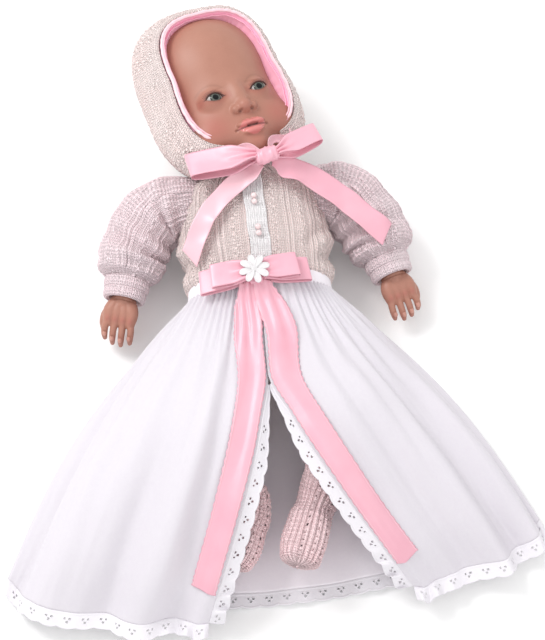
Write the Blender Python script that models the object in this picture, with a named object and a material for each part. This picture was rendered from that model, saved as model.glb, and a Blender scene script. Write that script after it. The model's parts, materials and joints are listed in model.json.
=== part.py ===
"""A baby doll lying on its back in a knitted and batiste christening gown.

The head, forearms and lower legs are porcelain, and they are tied into a stuffed cloth body.
The frame: +X is the doll's left side, +Y runs from the feet to the head, +Z is up, away from
the surface that the doll lies on. Sizes are in metres.
"""

import math

import bmesh
import bpy
from mathutils import Matrix, Vector

# ---- driving dimensions ----

GAP = 0.0006  # clearance between neighbouring pieces
CENTRING = Vector((0.0061, 0.0035, 0.0))  # moves the design's origin to the middle of its box

NECK = Vector((-0.0035, 0.1193, 0.060))  # pivot of the neck
HEAD_LEAN = math.radians(19)  # crown leans towards the doll's right shoulder
HEAD_TURN = math.radians(13)  # face turned towards the doll's left
HEAD_NOD = math.radians(6)  # crown lifted from the surface, chin drawn in
HEAD_WALL = 0.004
EYE_RADIUS = 0.0095
EYE_PLACE = Vector((0.0195, 0.040, 0.0385))  # left eye's centre from the neck pivot, head upright

BONNET_CENTRE = Vector((0.0005, 0.0665, 0.001))
BONNET_HALF = Vector((0.0585, 0.0705, 0.060))
BONNET_SQUARENESS = 3.0  # exponent of the bonnet's section, where 2 is an ellipse
BONNET_RIM = 0.038  # how far in front of the neck pivot the bonnet's rim lies
BONNET_WALL = 0.0028
LINING_WALL = 0.0010

CHEST_HALF_WIDTH = 0.058
CHEST_HALF_DEPTH = 0.043
CHEST_HEIGHT = 0.0445  # centre of the chest above the surface
KNIT_WALL = 0.0028
WAIST_Y = 0.009

SHOULDER = Vector((0.058, 0.090, 0.046))
SHOULDER_BALL = 0.0165
ELBOW = Vector((0.104, 0.042, 0.031))
WRIST = Vector((0.1115, 0.016, 0.028))
SLEEVE_WALL = 0.0026
SLEEVE_STEPS = 9
FOREARM_RADIUS = 0.0098
FOREARM_WALL = 0.0025

HIP = Vector((0.030, -0.045, 0.044))
HIP_BALL = 0.0185
KNEE = Vector((0.060, -0.110, 0.054))
SHIN_RADIUS = 0.0130
SHIN_WALL = 0.0028
ANKLES = {"left": Vector((0.026, -0.170, 0.037)), "right": Vector((-0.020, -0.166, 0.034))}
TOES = {"left": Vector((0.007, -0.219, 0.045)), "right": Vector((-0.040, -0.205, 0.036))}

CLOTH = 0.0022  # thickness that the gown's batiste is given
FLOOR_CLOTH = 0.0024  # thickness of the back panel, which lies flat on the surface
TRIM_WIDTH = 0.016
RIBBON = 0.0012
RIBBON_WIDTH = 0.0195

# ---- colours: base colour, roughness ----

PORCELAIN = ((0.72, 0.50, 0.40), 0.42)
CALICO = ((0.86, 0.78, 0.68), 0.95)
CORD = ((0.90, 0.86, 0.78), 0.90)
PINK_KNIT = ((0.92, 0.76, 0.76), 0.95)
WHITE_KNIT = ((0.95, 0.91, 0.91), 0.95)
PINK_SATIN = ((0.90, 0.52, 0.58), 0.35)
BATISTE = ((0.93, 0.90, 0.92), 0.90)
EYELET = ((0.96, 0.94, 0.95), 0.90)
GLASS_EYE = ((0.55, 0.62, 0.60), 0.05)
PEARL = ((0.95, 0.88, 0.88), 0.20)
POMPOM = ((0.96, 0.96, 0.94), 1.00)

X_AXIS = Vector((1, 0, 0))
Y_AXIS = Vector((0, 1, 0))
Z_AXIS = Vector((0, 0, 1))
SIDES = {"left": 1, "right": -1}

HEAD_FRAME = (
    Matrix.Translation(NECK)
    @ Matrix.Rotation(HEAD_LEAN, 4, "Z")
    @ Matrix.Rotation(HEAD_TURN, 4, "Y")
    @ Matrix.Rotation(HEAD_NOD, 4, "X")
)


# ---- scene, bodies and materials ----


def clear_scene():
    for obj in list(bpy.data.objects):
        bpy.data.objects.remove(obj, do_unlink=True)


def add_empty(name, place, parent=None):
    """An empty at a joint, which carries the pieces that turn about it."""
    empty = bpy.data.objects.new(name, None)
    bpy.context.collection.objects.link(empty)
    empty.empty_display_size = 0.01
    empty.parent = parent
    empty.location = place - Vector(parent["place"]) if parent else place + CENTRING
    empty["place"] = place
    return empty


def add_material(name, look):
    colour, roughness = look
    material = bpy.data.materials.new(name)
    material.use_nodes = True
    shader = material.node_tree.nodes["Principled BSDF"]
    shader.inputs["Base Color"].default_value = (*colour, 1.0)
    shader.inputs["Roughness"].default_value = roughness
    shader.inputs["Metallic"].default_value = 0.0
    return material


def add_piece(name, bm, look, body):
    """Turn a mesh that is drawn in the design's frame into an object on a body."""
    place = Vector(body["place"])
    bmesh.ops.recalc_face_normals(bm, faces=bm.faces)
    bmesh.ops.translate(bm, verts=bm.verts, vec=-place)
    mesh = bpy.data.meshes.new(name)
    bm.to_mesh(mesh)
    bm.free()
    mesh.shade_smooth()
    mesh.set_sharp_from_angle(angle=math.radians(50))
    piece = bpy.data.objects.new(name, mesh)
    bpy.context.collection.objects.link(piece)
    piece.parent = body
    piece.data.materials.append(add_material(name, look))
    return piece


def join_shapes(piece, shapes, operation):
    """Boolean a piece with hidden helper meshes."""
    for number, bm in enumerate(shapes):
        helper = add_piece(f"{piece.name}_shape_{number}", bm, CORD, piece.parent)
        helper.hide_render = True
        helper.display_type = "WIRE"
        modifier = piece.modifiers.new(f"{operation.lower()}_{number}", "BOOLEAN")
        modifier.operation = operation
        modifier.solver = "EXACT"
        modifier.object = helper


# ---- shapes ----


def smooth_path(points, steps):
    """Points spread along a Catmull-Rom curve through the given ones."""
    points = [Vector(p) for p in points]
    ends = [2 * points[0] - points[1], *points, 2 * points[-1] - points[-2]]
    curve = []
    for step in range(steps + 1):
        along = step / steps * (len(points) - 1)
        first = min(int(along), len(points) - 2)
        t = along - first
        a, b, c, d = ends[first : first + 4]
        curve.append(
            0.5 * (2 * b + (c - a) * t + (2 * a - 5 * b + 4 * c - d) * t**2)
            + 0.5 * (3 * b - a - 3 * c + d) * t**3
        )
    return curve


def smooth_values(values, steps):
    """The same curve for plain numbers."""
    return [p.x for p in smooth_path([(v, 0, 0) for v in values], steps)]


def ellipse(centre, across, up, half_width, half_height, count, low_height=None):
    """A ring of points, whose lower half may have a height of its own."""
    ring = []
    for number in range(count):
        angle = 2 * math.pi * (number + 0.5) / count
        rise = math.cos(angle)
        height = half_height if rise > 0 or low_height is None else low_height
        ring.append(centre + across * half_width * math.sin(angle) + up * height * rise)
    return ring


def squared(value):
    """A sine or cosine bent so that the ellipse it draws gets squarer."""
    return math.copysign(abs(value) ** (2 / BONNET_SQUARENESS), value)


def skin(rings, closed=False):
    """Skin a chain of rings. An open chain has its two ends capped."""
    bm = bmesh.new()
    loops = [[bm.verts.new(p) for p in ring] for ring in rings]
    count = len(loops[0])
    pairs = list(zip(loops, loops[1:]))
    if closed:
        pairs.append((loops[-1], loops[0]))
    for low, high in pairs:
        for number in range(count):
            after = (number + 1) % count
            bm.faces.new((low[number], low[after], high[after], high[number]))
    if not closed:
        bm.faces.new(loops[0][::-1])
        bm.faces.new(loops[-1])
    return bm


def rings_along(path, radii, count, first_axis=None):
    """Round rings square to a path. The first one may face a direction of its own."""
    rings = []
    for number, point in enumerate(path):
        before = path[max(number - 1, 0)]
        after = path[min(number + 1, len(path) - 1)]
        along = (after - before).normalized()
        if number == 0 and first_axis:
            along = first_axis
        across = along.cross(Z_AXIS).normalized()
        rise = across.cross(along)
        rings.append(ellipse(point, across, rise, radii[number], radii[number], count))
    return rings


def tube(path, radii, count):
    """A closed round rod along a path."""
    return skin(rings_along(path, radii, count))


def pipe(path, radii, wall, count, first_axis):
    """An open pipe along a path, with a wall of even thickness."""
    outer = rings_along(path, radii, count, first_axis)
    inner = rings_along(path, [radius - wall for radius in radii], count, first_axis)
    return skin(outer + inner[::-1], closed=True)


def band(centre, axis, up, inner, outer, length, count):
    """A short plain pipe, such as a cuff or a tie."""
    across = up.cross(axis).normalized()
    rise = axis.cross(across)
    half = axis * length / 2
    outline = [(inner, -half), (inner, half), (outer, half), (outer, -half)]
    rings = [ellipse(centre + shift, across, rise, r, r, count) for r, shift in outline]
    return skin(rings, closed=True)


def rolled_band(centre, axis, up, inner, outer, length, count):
    """A short pipe with a rounded outer face, such as a turned-back knitted cuff."""
    across = up.cross(axis).normalized()
    rise = axis.cross(across)
    mid = (inner + outer) / 2
    outline = [(inner, -0.42), (inner, 0.42), (mid, 0.5), (outer, 0.22), (outer, -0.22), (mid, -0.5)]
    rings = [
        ellipse(centre + axis * length * shift, across, rise, r, r, count)
        for r, shift in outline
    ]
    return skin(rings, closed=True)


def ball(centre, half, segments, rings):
    """A sphere or ellipsoid, which stands on the Z axis."""
    bm = bmesh.new()
    bmesh.ops.create_uvsphere(bm, u_segments=segments, v_segments=rings, radius=1.0)
    bmesh.ops.scale(bm, vec=half, verts=bm.verts)
    bmesh.ops.translate(bm, vec=centre, verts=bm.verts)
    return bm


def rod(centre, axis, half_width, half_depth, length, count, up=Z_AXIS):
    """A plain closed cylinder with an elliptical section."""
    across = up.cross(axis).normalized()
    rise = axis.cross(across)
    half = axis * length / 2
    ends = [centre - half, centre + half]
    return skin([ellipse(end, across, rise, half_width, half_depth, count) for end in ends])


def thick_sheet(grid, thickness):
    """Give a grid of points a thickness, half of it on each side."""
    rows = len(grid)
    columns = len(grid[0])
    bm = bmesh.new()
    top = []
    bottom = []
    for i in range(rows):
        top.append([])
        bottom.append([])
        for j in range(columns):
            down = grid[min(i + 1, rows - 1)][j] - grid[max(i - 1, 0)][j]
            over = grid[i][min(j + 1, columns - 1)] - grid[i][max(j - 1, 0)]
            normal = down.cross(over).normalized()
            top[i].append(bm.verts.new(grid[i][j] + normal * thickness / 2))
            bottom[i].append(bm.verts.new(grid[i][j] - normal * thickness / 2))
    for i in range(rows - 1):
        for j in range(columns - 1):
            bm.faces.new((top[i][j], top[i][j + 1], top[i + 1][j + 1], top[i + 1][j]))
            bm.faces.new(
                (bottom[i][j], bottom[i + 1][j], bottom[i + 1][j + 1], bottom[i][j + 1])
            )
    edge = [(0, j) for j in range(columns)]
    edge += [(i, columns - 1) for i in range(1, rows)]
    edge += [(rows - 1, j) for j in range(columns - 2, -1, -1)]
    edge += [(i, 0) for i in range(rows - 2, 0, -1)]
    for (i, j), (k, m) in zip(edge, edge[1:] + edge[:1]):
        bm.faces.new((top[i][j], bottom[i][j], bottom[k][m], top[k][m]))
    return bm


def ribbon(path, width, thickness, across):
    """A flat ribbon along a path, with its width along one direction."""
    grid = [[point - across * width / 2, point + across * width / 2] for point in path]
    return thick_sheet(grid, thickness)


def bow_loop(start, along, lift, across, length, rise, width, thickness):
    """One loop of a bow: the ribbon goes out from the knot, folds over and comes back."""
    steps = 12
    opening = math.radians(22)  # leaves the two ends apart at the knot
    path = []
    for step in range(steps + 1):
        angle = opening + (2 * math.pi - 2 * opening) * step / steps
        out = length * (1 - math.cos(angle)) / 2
        path.append(start + along * out + lift * rise * math.sin(angle))
    return ribbon(path, width, thickness, across)


def in_head(bm):
    """Move a shape from the upright head's frame to the head's place on the doll."""
    bmesh.ops.transform(bm, matrix=HEAD_FRAME, verts=bm.verts)
    return bm


# ---- head, neck and bonnet, drawn upright about the neck pivot ----

# height above the pivot, half-width, depth in front, depth behind
HEAD_SECTIONS = [
    (-0.020, 0.0170, 0.0170, 0.0170),
    (-0.008, 0.0170, 0.0175, 0.0170),
    (-0.004, 0.0240, 0.0400, 0.0180),
    (0.002, 0.0300, 0.0465, 0.0200),
    (0.010, 0.0358, 0.0480, 0.0280),
    (0.022, 0.0420, 0.0500, 0.0380),
    (0.038, 0.0475, 0.0505, 0.0460),
    (0.056, 0.0490, 0.0510, 0.0500),
    (0.080, 0.0500, 0.0505, 0.0510),
    (0.098, 0.0460, 0.0440, 0.0470),
    (0.112, 0.0340, 0.0310, 0.0350),
    (0.1205, 0.0180, 0.0150, 0.0180),
    (0.1235, 0.0040, 0.0030, 0.0040),
]
HEAD_SIDES = 20
BONNET_SIDES = 22
BONNET_STEPS = 7


def head_rings(inset):
    rings = []
    last = len(HEAD_SECTIONS) - 1
    for number, (y, width, front, back) in enumerate(HEAD_SECTIONS):
        if inset and number == last:
            continue
        lift = -inset if number > last / 2 else 0.0
        if inset and 0 < number <= last / 2:
            lift = inset * 0.5
        centre = Vector((0, y + lift, 0))
        rings.append(
            ellipse(centre, X_AXIS, Z_AXIS, width - inset, front - inset, HEAD_SIDES, back - inset)
        )
    return rings


def make_head(body):
    head = add_piece(
        "head_shell", in_head(skin(head_rings(HEAD_WALL)[::-1] + head_rings(0.0))), PORCELAIN, body
    )
    sockets = []
    for sign in SIDES.values():
        place = Vector((EYE_PLACE.x * sign, EYE_PLACE.y, EYE_PLACE.z))
        hollow = EYE_RADIUS + GAP
        sockets.append(in_head(ball(place, Vector((hollow, hollow, hollow)), 16, 10)))
    join_shapes(head, sockets, "DIFFERENCE")
    for side, sign in SIDES.items():
        place = Vector((EYE_PLACE.x * sign, EYE_PLACE.y, EYE_PLACE.z))
        size = Vector((EYE_RADIUS, EYE_RADIUS, EYE_RADIUS))
        add_piece(f"eye_{side}", in_head(ball(place, size, 14, 9)), GLASS_EYE, body)


def make_neck(body):
    """The cloth neck is gathered round the head's porcelain neck and tied there."""
    casing = band(Vector((0, -0.0135, 0)), Y_AXIS, Z_AXIS, 0.0180, 0.0202, 0.008, 18)
    add_piece("neck_casing", in_head(casing), CALICO, body)
    tie = rolled_band(Vector((0, -0.0135, 0)), Y_AXIS, Z_AXIS, 0.0209, 0.0223, 0.003, 18)
    add_piece("neck_tie", in_head(tie), CORD, body)


def cup_rings(inset, rim):
    """Rings of the bonnet's half-egg, from the closed back to the rim in front."""
    rings = []
    half = BONNET_HALF - Vector((inset, inset, inset))
    start = math.radians(-86)
    stop = math.asin((rim - BONNET_CENTRE.z) / half.z)
    for step in range(BONNET_STEPS + 1):
        angle = start + (stop - start) * step / BONNET_STEPS
        centre = BONNET_CENTRE + Z_AXIS * half.z * math.sin(angle)
        ring = []
        for number in range(BONNET_SIDES):
            turn = 2 * math.pi * (number + 0.5) / BONNET_SIDES
            x = half.x * math.cos(angle) * squared(math.sin(turn))
            y = half.y * math.cos(angle) * squared(math.cos(turn))
            ring.append(centre + Vector((x, y, 0)))
        rings.append(ring)
    return rings


def rim_path(radius_shift, front, opening, steps):
    """Points round the face opening, from one side of the chin over the crown to the other."""
    depth = (front - BONNET_CENTRE.z) / BONNET_HALF.z
    shrink = math.sqrt(1 - depth**2)
    half_x = BONNET_HALF.x * shrink - radius_shift
    half_y = BONNET_HALF.y * shrink - radius_shift
    path = []
    for step in range(steps + 1):
        angle = opening + (2 * math.pi - 2 * opening) * step / steps
        x = half_x * squared(math.sin(angle))
        y = BONNET_CENTRE.y - half_y * squared(math.cos(angle))
        path.append(Vector((x, y, front)))
    return path


def make_bonnet(body):
    lining_inset = BONNET_WALL + GAP
    shells = [
        ("bonnet_shell", 0.0, BONNET_WALL, PINK_KNIT),
        ("bonnet_lining", lining_inset, lining_inset + LINING_WALL, PINK_SATIN),
    ]
    for name, outside, inside, look in shells:
        outer = cup_rings(outside, BONNET_RIM)
        inner = cup_rings(inside, BONNET_RIM)
        piece = add_piece(name, in_head(skin(outer + inner[::-1])), look, body)
        neck_hole = rod(Vector((0, 0.001, 0.006)), Y_AXIS, 0.043, 0.050, 0.046, 18)
        join_shapes(piece, [in_head(neck_hole)], "DIFFERENCE")
    roll = 0.0018
    path = rim_path(BONNET_WALL / 2, BONNET_RIM + roll + GAP, math.radians(34), 24)
    add_piece("bonnet_trim", in_head(tube(path, [roll] * len(path), 6)), PINK_SATIN, body)


def make_chin_bow(body):
    knot = Vector((0.0145, 0.0998, 0.1040))
    low = HEAD_FRAME.inverted() @ knot
    add_piece("chin_bow_knot", ball(knot, Vector((0.0070, 0.0085, 0.0060)), 10, 6), PINK_SATIN, body)
    for side, sign in SIDES.items():
        tie = smooth_path(
            [(0.0310 * sign, 0.0105, 0.0430), (0.0285 * sign, 0.0045, 0.0440),
             (low.x + 0.0065 * sign, low.y + 0.0185, low.z)],
            6,
        )
        face = Vector((0.55 * sign, -0.30, 0.75)).normalized()
        along = (tie[-1] - tie[0]).normalized()
        piece = ribbon(tie, 0.006, RIBBON, along.cross(face).normalized())
        add_piece(f"chin_tie_{side}", in_head(piece), PINK_SATIN, body)
    loops = {"left": Vector((0.052, 0.117, 0.096)), "right": Vector((-0.048, 0.099, 0.096))}
    tails = {
        "left": [(0.0225, 0.0930, 0.0935), (0.046, 0.087, 0.0870), (0.072, 0.070, 0.0785),
                 (0.092, 0.053, 0.0660), (0.104, 0.042, 0.0590)],
        "right": [(0.0020, 0.0885, 0.0930), (-0.018, 0.077, 0.0925), (-0.035, 0.060, 0.0930),
                  (-0.045, 0.044, 0.0860), (-0.052, 0.030, 0.0790)],
    }
    for side, sign in SIDES.items():
        start = knot + Vector((0.0078 * sign, 0, 0))
        along = loops[side] - start
        length = along.length
        along.normalize()
        across = along.cross(Z_AXIS).normalized()
        lift = across.cross(along)
        loop = bow_loop(start, along, lift, across, length, 0.0065, RIBBON_WIDTH, RIBBON)
        add_piece(f"chin_bow_loop_{side}", loop, PINK_SATIN, body)
        path = smooth_path(tails[side], 10)
        across = (path[-1] - path[0]).cross(Z_AXIS).normalized()
        tail = ribbon(path, RIBBON_WIDTH, RIBBON, across)
        add_piece(f"chin_bow_tail_{side}", tail, PINK_SATIN, body)


# ---- body and bodice ----

# distance along the body, half-width, half-depth, height of the centre
TORSO_SECTIONS = [
    (0.090, 0.018, 0.014, 0.056),
    (0.087, 0.036, 0.025, 0.051),
    (0.080, 0.047, 0.033, 0.047),
    (0.062, 0.0515, 0.0365, 0.045),
    (0.030, 0.0500, 0.0365, 0.045),
    (0.000, 0.0490, 0.0360, 0.045),
    (-0.020, 0.0480, 0.0340, 0.044),
    (-0.038, 0.0430, 0.0290, 0.044),
    (-0.050, 0.0300, 0.0200, 0.044),
]
# distance along the body, half-width and half-depth as shares of the chest's, height of the centre
BODICE_SECTIONS = [
    (0.1010, 0.52, 0.70, 0.0595),
    (0.0985, 0.75, 0.80, 0.0530),
    (0.0935, 0.90, 0.90, 0.0480),
    (0.0850, 0.98, 0.97, 0.0450),
    (0.0600, 1.00, 1.00, 0.0445),
    (0.0350, 0.99, 1.00, 0.0445),
    (WAIST_Y, 0.97, 0.99, 0.0445),
]


def bodice_rings(inset):
    rings = []
    for y, wide, deep, height in BODICE_SECTIONS:
        width = CHEST_HALF_WIDTH * wide - inset
        depth = CHEST_HALF_DEPTH * deep - inset
        rings.append(ellipse(Vector((0, y, height)), X_AXIS, Z_AXIS, width, depth, 22))
    return rings


def bodice_top(x, y, lift):
    """A point above the bodice's front at a place on it."""
    low = BODICE_SECTIONS[-1]
    high = BODICE_SECTIONS[-1]
    for first, second in zip(BODICE_SECTIONS, BODICE_SECTIONS[1:]):
        if second[0] <= y <= first[0]:
            high, low = first, second
            break
    share = (y - low[0]) / (high[0] - low[0]) if high != low else 0.0
    wide, deep, height = (low[k] + (high[k] - low[k]) * share for k in (1, 2, 3))
    ratio = x / (CHEST_HALF_WIDTH * wide)
    rise = CHEST_HALF_DEPTH * deep * math.sqrt(1 - ratio**2)
    return Vector((x, y, height + rise + lift))


def make_torso(body):
    rings = [
        ellipse(Vector((0, y, height)), X_AXIS, Z_AXIS, width, depth, 18)
        for y, width, depth, height in TORSO_SECTIONS
    ]
    torso = add_piece("torso_cloth", skin(rings), CALICO, body)
    hollows = []
    for sign in SIDES.values():
        for joint, radius in ((SHOULDER, SHOULDER_BALL), (HIP, HIP_BALL)):
            place = Vector((joint.x * sign, joint.y, joint.z))
            size = radius + 2 * GAP
            hollows.append(ball(place, Vector((size, size, size)), 14, 8))
    join_shapes(torso, hollows, "DIFFERENCE")


def make_bodice(body):
    rings = bodice_rings(0.0) + bodice_rings(KNIT_WALL)[::-1]
    bodice = add_piece("bodice", skin(rings, closed=True), PINK_KNIT, body)
    armholes = []
    for sign in SIDES.values():
        place = Vector((SHOULDER.x * sign, SHOULDER.y, SHOULDER.z))
        radius = SHOULDER_BALL + 0.0030
        armholes.append(rod(place, X_AXIS, radius, radius, 0.034, 16))
    join_shapes(bodice, armholes, "DIFFERENCE")
    neckband = band(Vector((0, 0.1032, 0.0595)), Y_AXIS, Z_AXIS, 0.0262, 0.0300, 0.0034, 20)
    add_piece("neckband", neckband, WHITE_KNIT, body)


def make_placket(body):
    rows = 10
    half = 0.008
    lift = 0.0012
    grid = []
    for row in range(rows + 1):
        y = 0.0975 + (0.0125 - 0.0975) * row / rows
        grid.append([bodice_top(half * k / 2, y, lift) for k in (-2, -1, 0, 1, 2)])
    add_piece("placket", thick_sheet(grid, 0.0012), WHITE_KNIT, body)
    pearl = 0.0024
    spacing = 0.0027
    for number, y in enumerate((0.069, 0.041), start=1):
        for row, step in (("upper", spacing), ("lower", -spacing)):
            place = bodice_top(0.001 * number, y + step, lift + 0.0012 / 2 + GAP / 2 + pearl)
            shape = ball(place, Vector((pearl, pearl, pearl)), 8, 5)
            add_piece(f"pearl_{number}_{row}", shape, PEARL, body)


def make_waist(body):
    outline = [(0.0, -0.0036), (0.0, 0.0036), (-0.0024, 0.0036), (-0.0024, -0.0036)]
    rings = []
    for inset, shift in outline:
        centre = Vector((0, WAIST_Y - 0.0042, CHEST_HEIGHT))
        centre.y += shift
        width = CHEST_HALF_WIDTH * 0.97 - 0.0002 + inset
        depth = CHEST_HALF_DEPTH * 0.99 - 0.0002 + inset
        rings.append(ellipse(centre, X_AXIS, Z_AXIS, width, depth, 22))
    add_piece("waistband", skin(rings, closed=True), WHITE_KNIT, body)


# ---- skirt ----

SKIRT_TOP = -0.0002
SEAM_POINTS = [
    (0.0575, SKIRT_TOP, 0.0445), (0.079, -0.012, 0.028), (0.104, -0.032, 0.011),
    (0.130, -0.058, 0.0012), (0.158, -0.098, 0.0012), (0.182, -0.142, 0.0012),
    (0.2045, -0.190, 0.0012),
]
SLIT_POINTS = {
    "left": [(0.0012, SKIRT_TOP, 0.087), (0.003, -0.045, 0.086), (0.004, -0.085, 0.083),
             (0.020, -0.125, 0.078), (0.046, -0.171, 0.068), (0.073, -0.210, 0.048),
             (0.095, -0.236, 0.020)],
    "right": [(-0.0012, SKIRT_TOP, 0.087), (-0.003, -0.045, 0.086), (-0.004, -0.085, 0.083),
              (-0.014, -0.130, 0.079), (-0.031, -0.178, 0.069), (-0.049, -0.220, 0.048),
              (-0.063, -0.249, 0.019)],
}
SIDE_SHIFT = {"left": -0.002, "right": -0.010}  # the hem reaches a little further on the right
BACK_HEM_Y = -0.226
ROWS = 12
COLUMNS = 9
KNEE_BUMP = 0.013


def seam_path(side):
    """The side seam, where the front panel meets the back panel."""
    sign = SIDES[side]
    path = smooth_path(SEAM_POINTS, ROWS)
    last = len(path) - 1
    shifted = []
    for number, point in enumerate(path):
        shift = SIDE_SHIFT[side] * number / last
        drop = shift * 0.6 if side == "right" else 0.0
        shifted.append(Vector((point.x * sign + shift, point.y + drop, max(point.z, 0.0012))))
    return shifted


def front_point(side, row, across):
    """A point of the front panel: across is 0 at the slit and 1 at the side seam."""
    slit = SLIT_PATHS[side][row]
    seam = SEAM_PATHS[side][row] + Vector((0, 0, 0.0030))
    angle = across * math.pi / 2
    down = row / ROWS
    roundness = 1.0 - 0.45 * down
    x = slit.x + (seam.x - slit.x) * math.sin(angle) ** (1 + 0.15 * down)
    fall = math.cos(angle) ** roundness if across < 1 else 0.0
    y = slit.y + (seam.y - slit.y) * across**1.5
    z = seam.z + (slit.z - seam.z) * fall
    near = math.exp(-(((x - KNEE.x * SIDES[side]) / 0.040) ** 2) - ((y - KNEE.y) / 0.055) ** 2)
    return Vector((x, y, z + KNEE_BUMP * near))


SEAM_PATHS = {side: seam_path(side) for side in SIDES}
SLIT_PATHS = {side: smooth_path(SLIT_POINTS[side], ROWS) for side in SIDES}


def front_grid(side, first, last, start, stop, columns, lift=0.0):
    """A grid on the front panel between two rows and two places across it."""
    grid = []
    for row in range(first, last + 1):
        points = []
        for column in range(columns + 1):
            across = start + (stop - start) * column / columns
            point = front_point(side, row, across)
            points.append(point + Z_AXIS * lift)
        grid.append(points)
    return grid


def edge_strip(edge, outward, width, drop, gap):
    """Two rows of points beside an edge, from gap to width beyond it."""
    grid = []
    for point, way in zip(edge, outward):
        near = point + way * gap
        far = point + way * width - Z_AXIS * drop
        grid.append([near, (near + far) / 2, far])
    return grid


def make_skirt_back(body):
    grid = []
    for row in range(ROWS + 1):
        left = SEAM_PATHS["left"][row]
        right = SEAM_PATHS["right"][row]
        down = row / ROWS
        middle = BACK_HEM_Y * down ** 1.1
        points = []
        for column in range(COLUMNS + 1):
            angle = math.pi * (column / COLUMNS - 0.5)
            side = math.sin(angle)
            mean = (left + right) / 2
            x = mean.x + (left.x - right.x) / 2 * side
            curve = 1 - math.cos(angle)
            edge_y = right.y if side < 0 else left.y
            y = middle + (edge_y - middle) * abs(side) ** 2
            z = 0.0012 + (mean.z - 0.0012) * curve
            points.append(Vector((x, y, z)))
        grid.append(points)
    add_piece("skirt_back", thick_sheet(grid, FLOOR_CLOTH), BATISTE, body)
    edge = grid[-1]
    outward = []
    for point in edge:
        outward.append(Vector((point.x * 0.35, -0.20, 0)).normalized())
    strip = edge_strip(edge, outward, TRIM_WIDTH * 0.62, 0.0, GAP + 0.0003)
    add_piece("hem_trim_back", thick_sheet(strip, FLOOR_CLOTH), EYELET, body)


def make_skirt_front(side, body):
    sign = SIDES[side]
    grid = front_grid(side, 0, ROWS, 0.0, 1.0, COLUMNS)
    add_piece(f"skirt_front_{side}", thick_sheet(grid, CLOTH), BATISTE, body)
    first_open = 4
    edge = [grid[row][0] for row in range(first_open, ROWS + 1)]
    outward = []
    for row in range(first_open, ROWS + 1):
        share = (row - first_open + 1) / (ROWS - first_open)
        outward.append(Vector((-sign * min(share, 1.0), -0.10, -0.25)).normalized())
    widths = [min(0.0035 + 0.0030 * k, TRIM_WIDTH) for k in range(len(edge))]
    strip = []
    for point, way, width in zip(edge, outward, widths):
        near = point + way * (GAP + 0.0004)
        far = point + way * width
        strip.append([near, (near + far) / 2, far])
    add_piece(f"slit_trim_{side}", thick_sheet(strip, CLOTH * 0.8), EYELET, body)
    hem = grid[-1]
    outward = [Vector((point.x * 0.30, -0.20, -0.02)).normalized() for point in hem]
    strip = edge_strip(hem, outward, TRIM_WIDTH * 0.85, 0.0, GAP + 0.0004)
    add_piece(f"hem_trim_{side}", thick_sheet(strip, CLOTH * 0.8), EYELET, body)


def make_waist_bow(body):
    centre = Vector((-0.004, 0.004, 0.0955))
    knot = Vector((0.0068, 0.0078, 0.0026))
    add_piece("waist_bow_knot", ball(centre, knot, 10, 6), PINK_SATIN, body)
    for side, sign in SIDES.items():
        start = centre + Vector((sign * 0.0082, 0, 0))
        along = Vector((sign, 0, -0.26)).normalized()
        lift = Vector((sign * 0.26, 0, 1)).normalized()
        loop = bow_loop(start, along, lift, Y_AXIS, 0.036, 0.0042, 0.019, RIBBON)
        add_piece(f"waist_bow_loop_{side}", loop, PINK_SATIN, body)
    petals = 8
    outline = 32
    bm = bmesh.new()
    corners = []
    for number in range(outline):
        angle = 2 * math.pi * number / outline
        reach = 0.0135 * (0.70 + 0.30 * abs(math.cos(petals * angle / 2)))
        flat = Vector((reach * math.cos(angle), reach * math.sin(angle), 0.0036))
        corners.append(bm.verts.new(centre + flat))
    face = bm.faces.new(corners)
    made = bmesh.ops.extrude_face_region(bm, geom=[face])
    raised = [v for v in made["geom"] if isinstance(v, bmesh.types.BMVert)]
    bmesh.ops.translate(bm, verts=raised, vec=(0, 0, 0.0020))
    add_piece("flower_applique", bm, EYELET, body)
    for side in SIDES:
        grid = []
        half = RIBBON_WIDTH / 2
        for row in range(1, ROWS):
            down = row / ROWS
            slit = SLIT_PATHS[side][row]
            seam = SEAM_PATHS[side][row]
            reach = abs(seam.x - slit.x)
            offset = 0.0112 + 0.009 * down
            points = []
            for k in (-1, 0, 1):
                share = max((offset + k * half) / reach, 0.0)
                across = math.asin(min(share ** (1 / (1 + 0.15 * down)), 1.0)) * 2 / math.pi
                points.append(front_point(side, row, across) + Z_AXIS * 0.0028)
            grid.append(points)
        add_piece(f"waist_bow_tail_{side}", thick_sheet(grid, RIBBON), PINK_SATIN, body)


# ---- arms ----


def mirrored(point, side):
    return Vector((point.x * SIDES[side], point.y, point.z))


def make_upper_arm(side, body):
    shoulder = mirrored(SHOULDER, side)
    elbow = mirrored(ELBOW, side)
    along = (mirrored(WRIST, side) - elbow).normalized()
    radius = SHOULDER_BALL
    size = Vector((radius, radius, radius))
    arm = add_piece(f"upper_arm_{side}", ball(shoulder, size, 14, 8), CALICO, body)
    outward = shoulder + Vector((SIDES[side] * 0.016, -0.006, -0.002))
    before_elbow = elbow - along * 0.014
    path = smooth_path([shoulder, outward, outward.lerp(before_elbow, 0.5), before_elbow,
                        elbow - along * GAP], 8)
    radii = smooth_values([0.0110, 0.0125, 0.0125, 0.0100, 0.0078], 8)
    join_shapes(arm, [tube(path, radii, 12)], "UNION")


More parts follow.
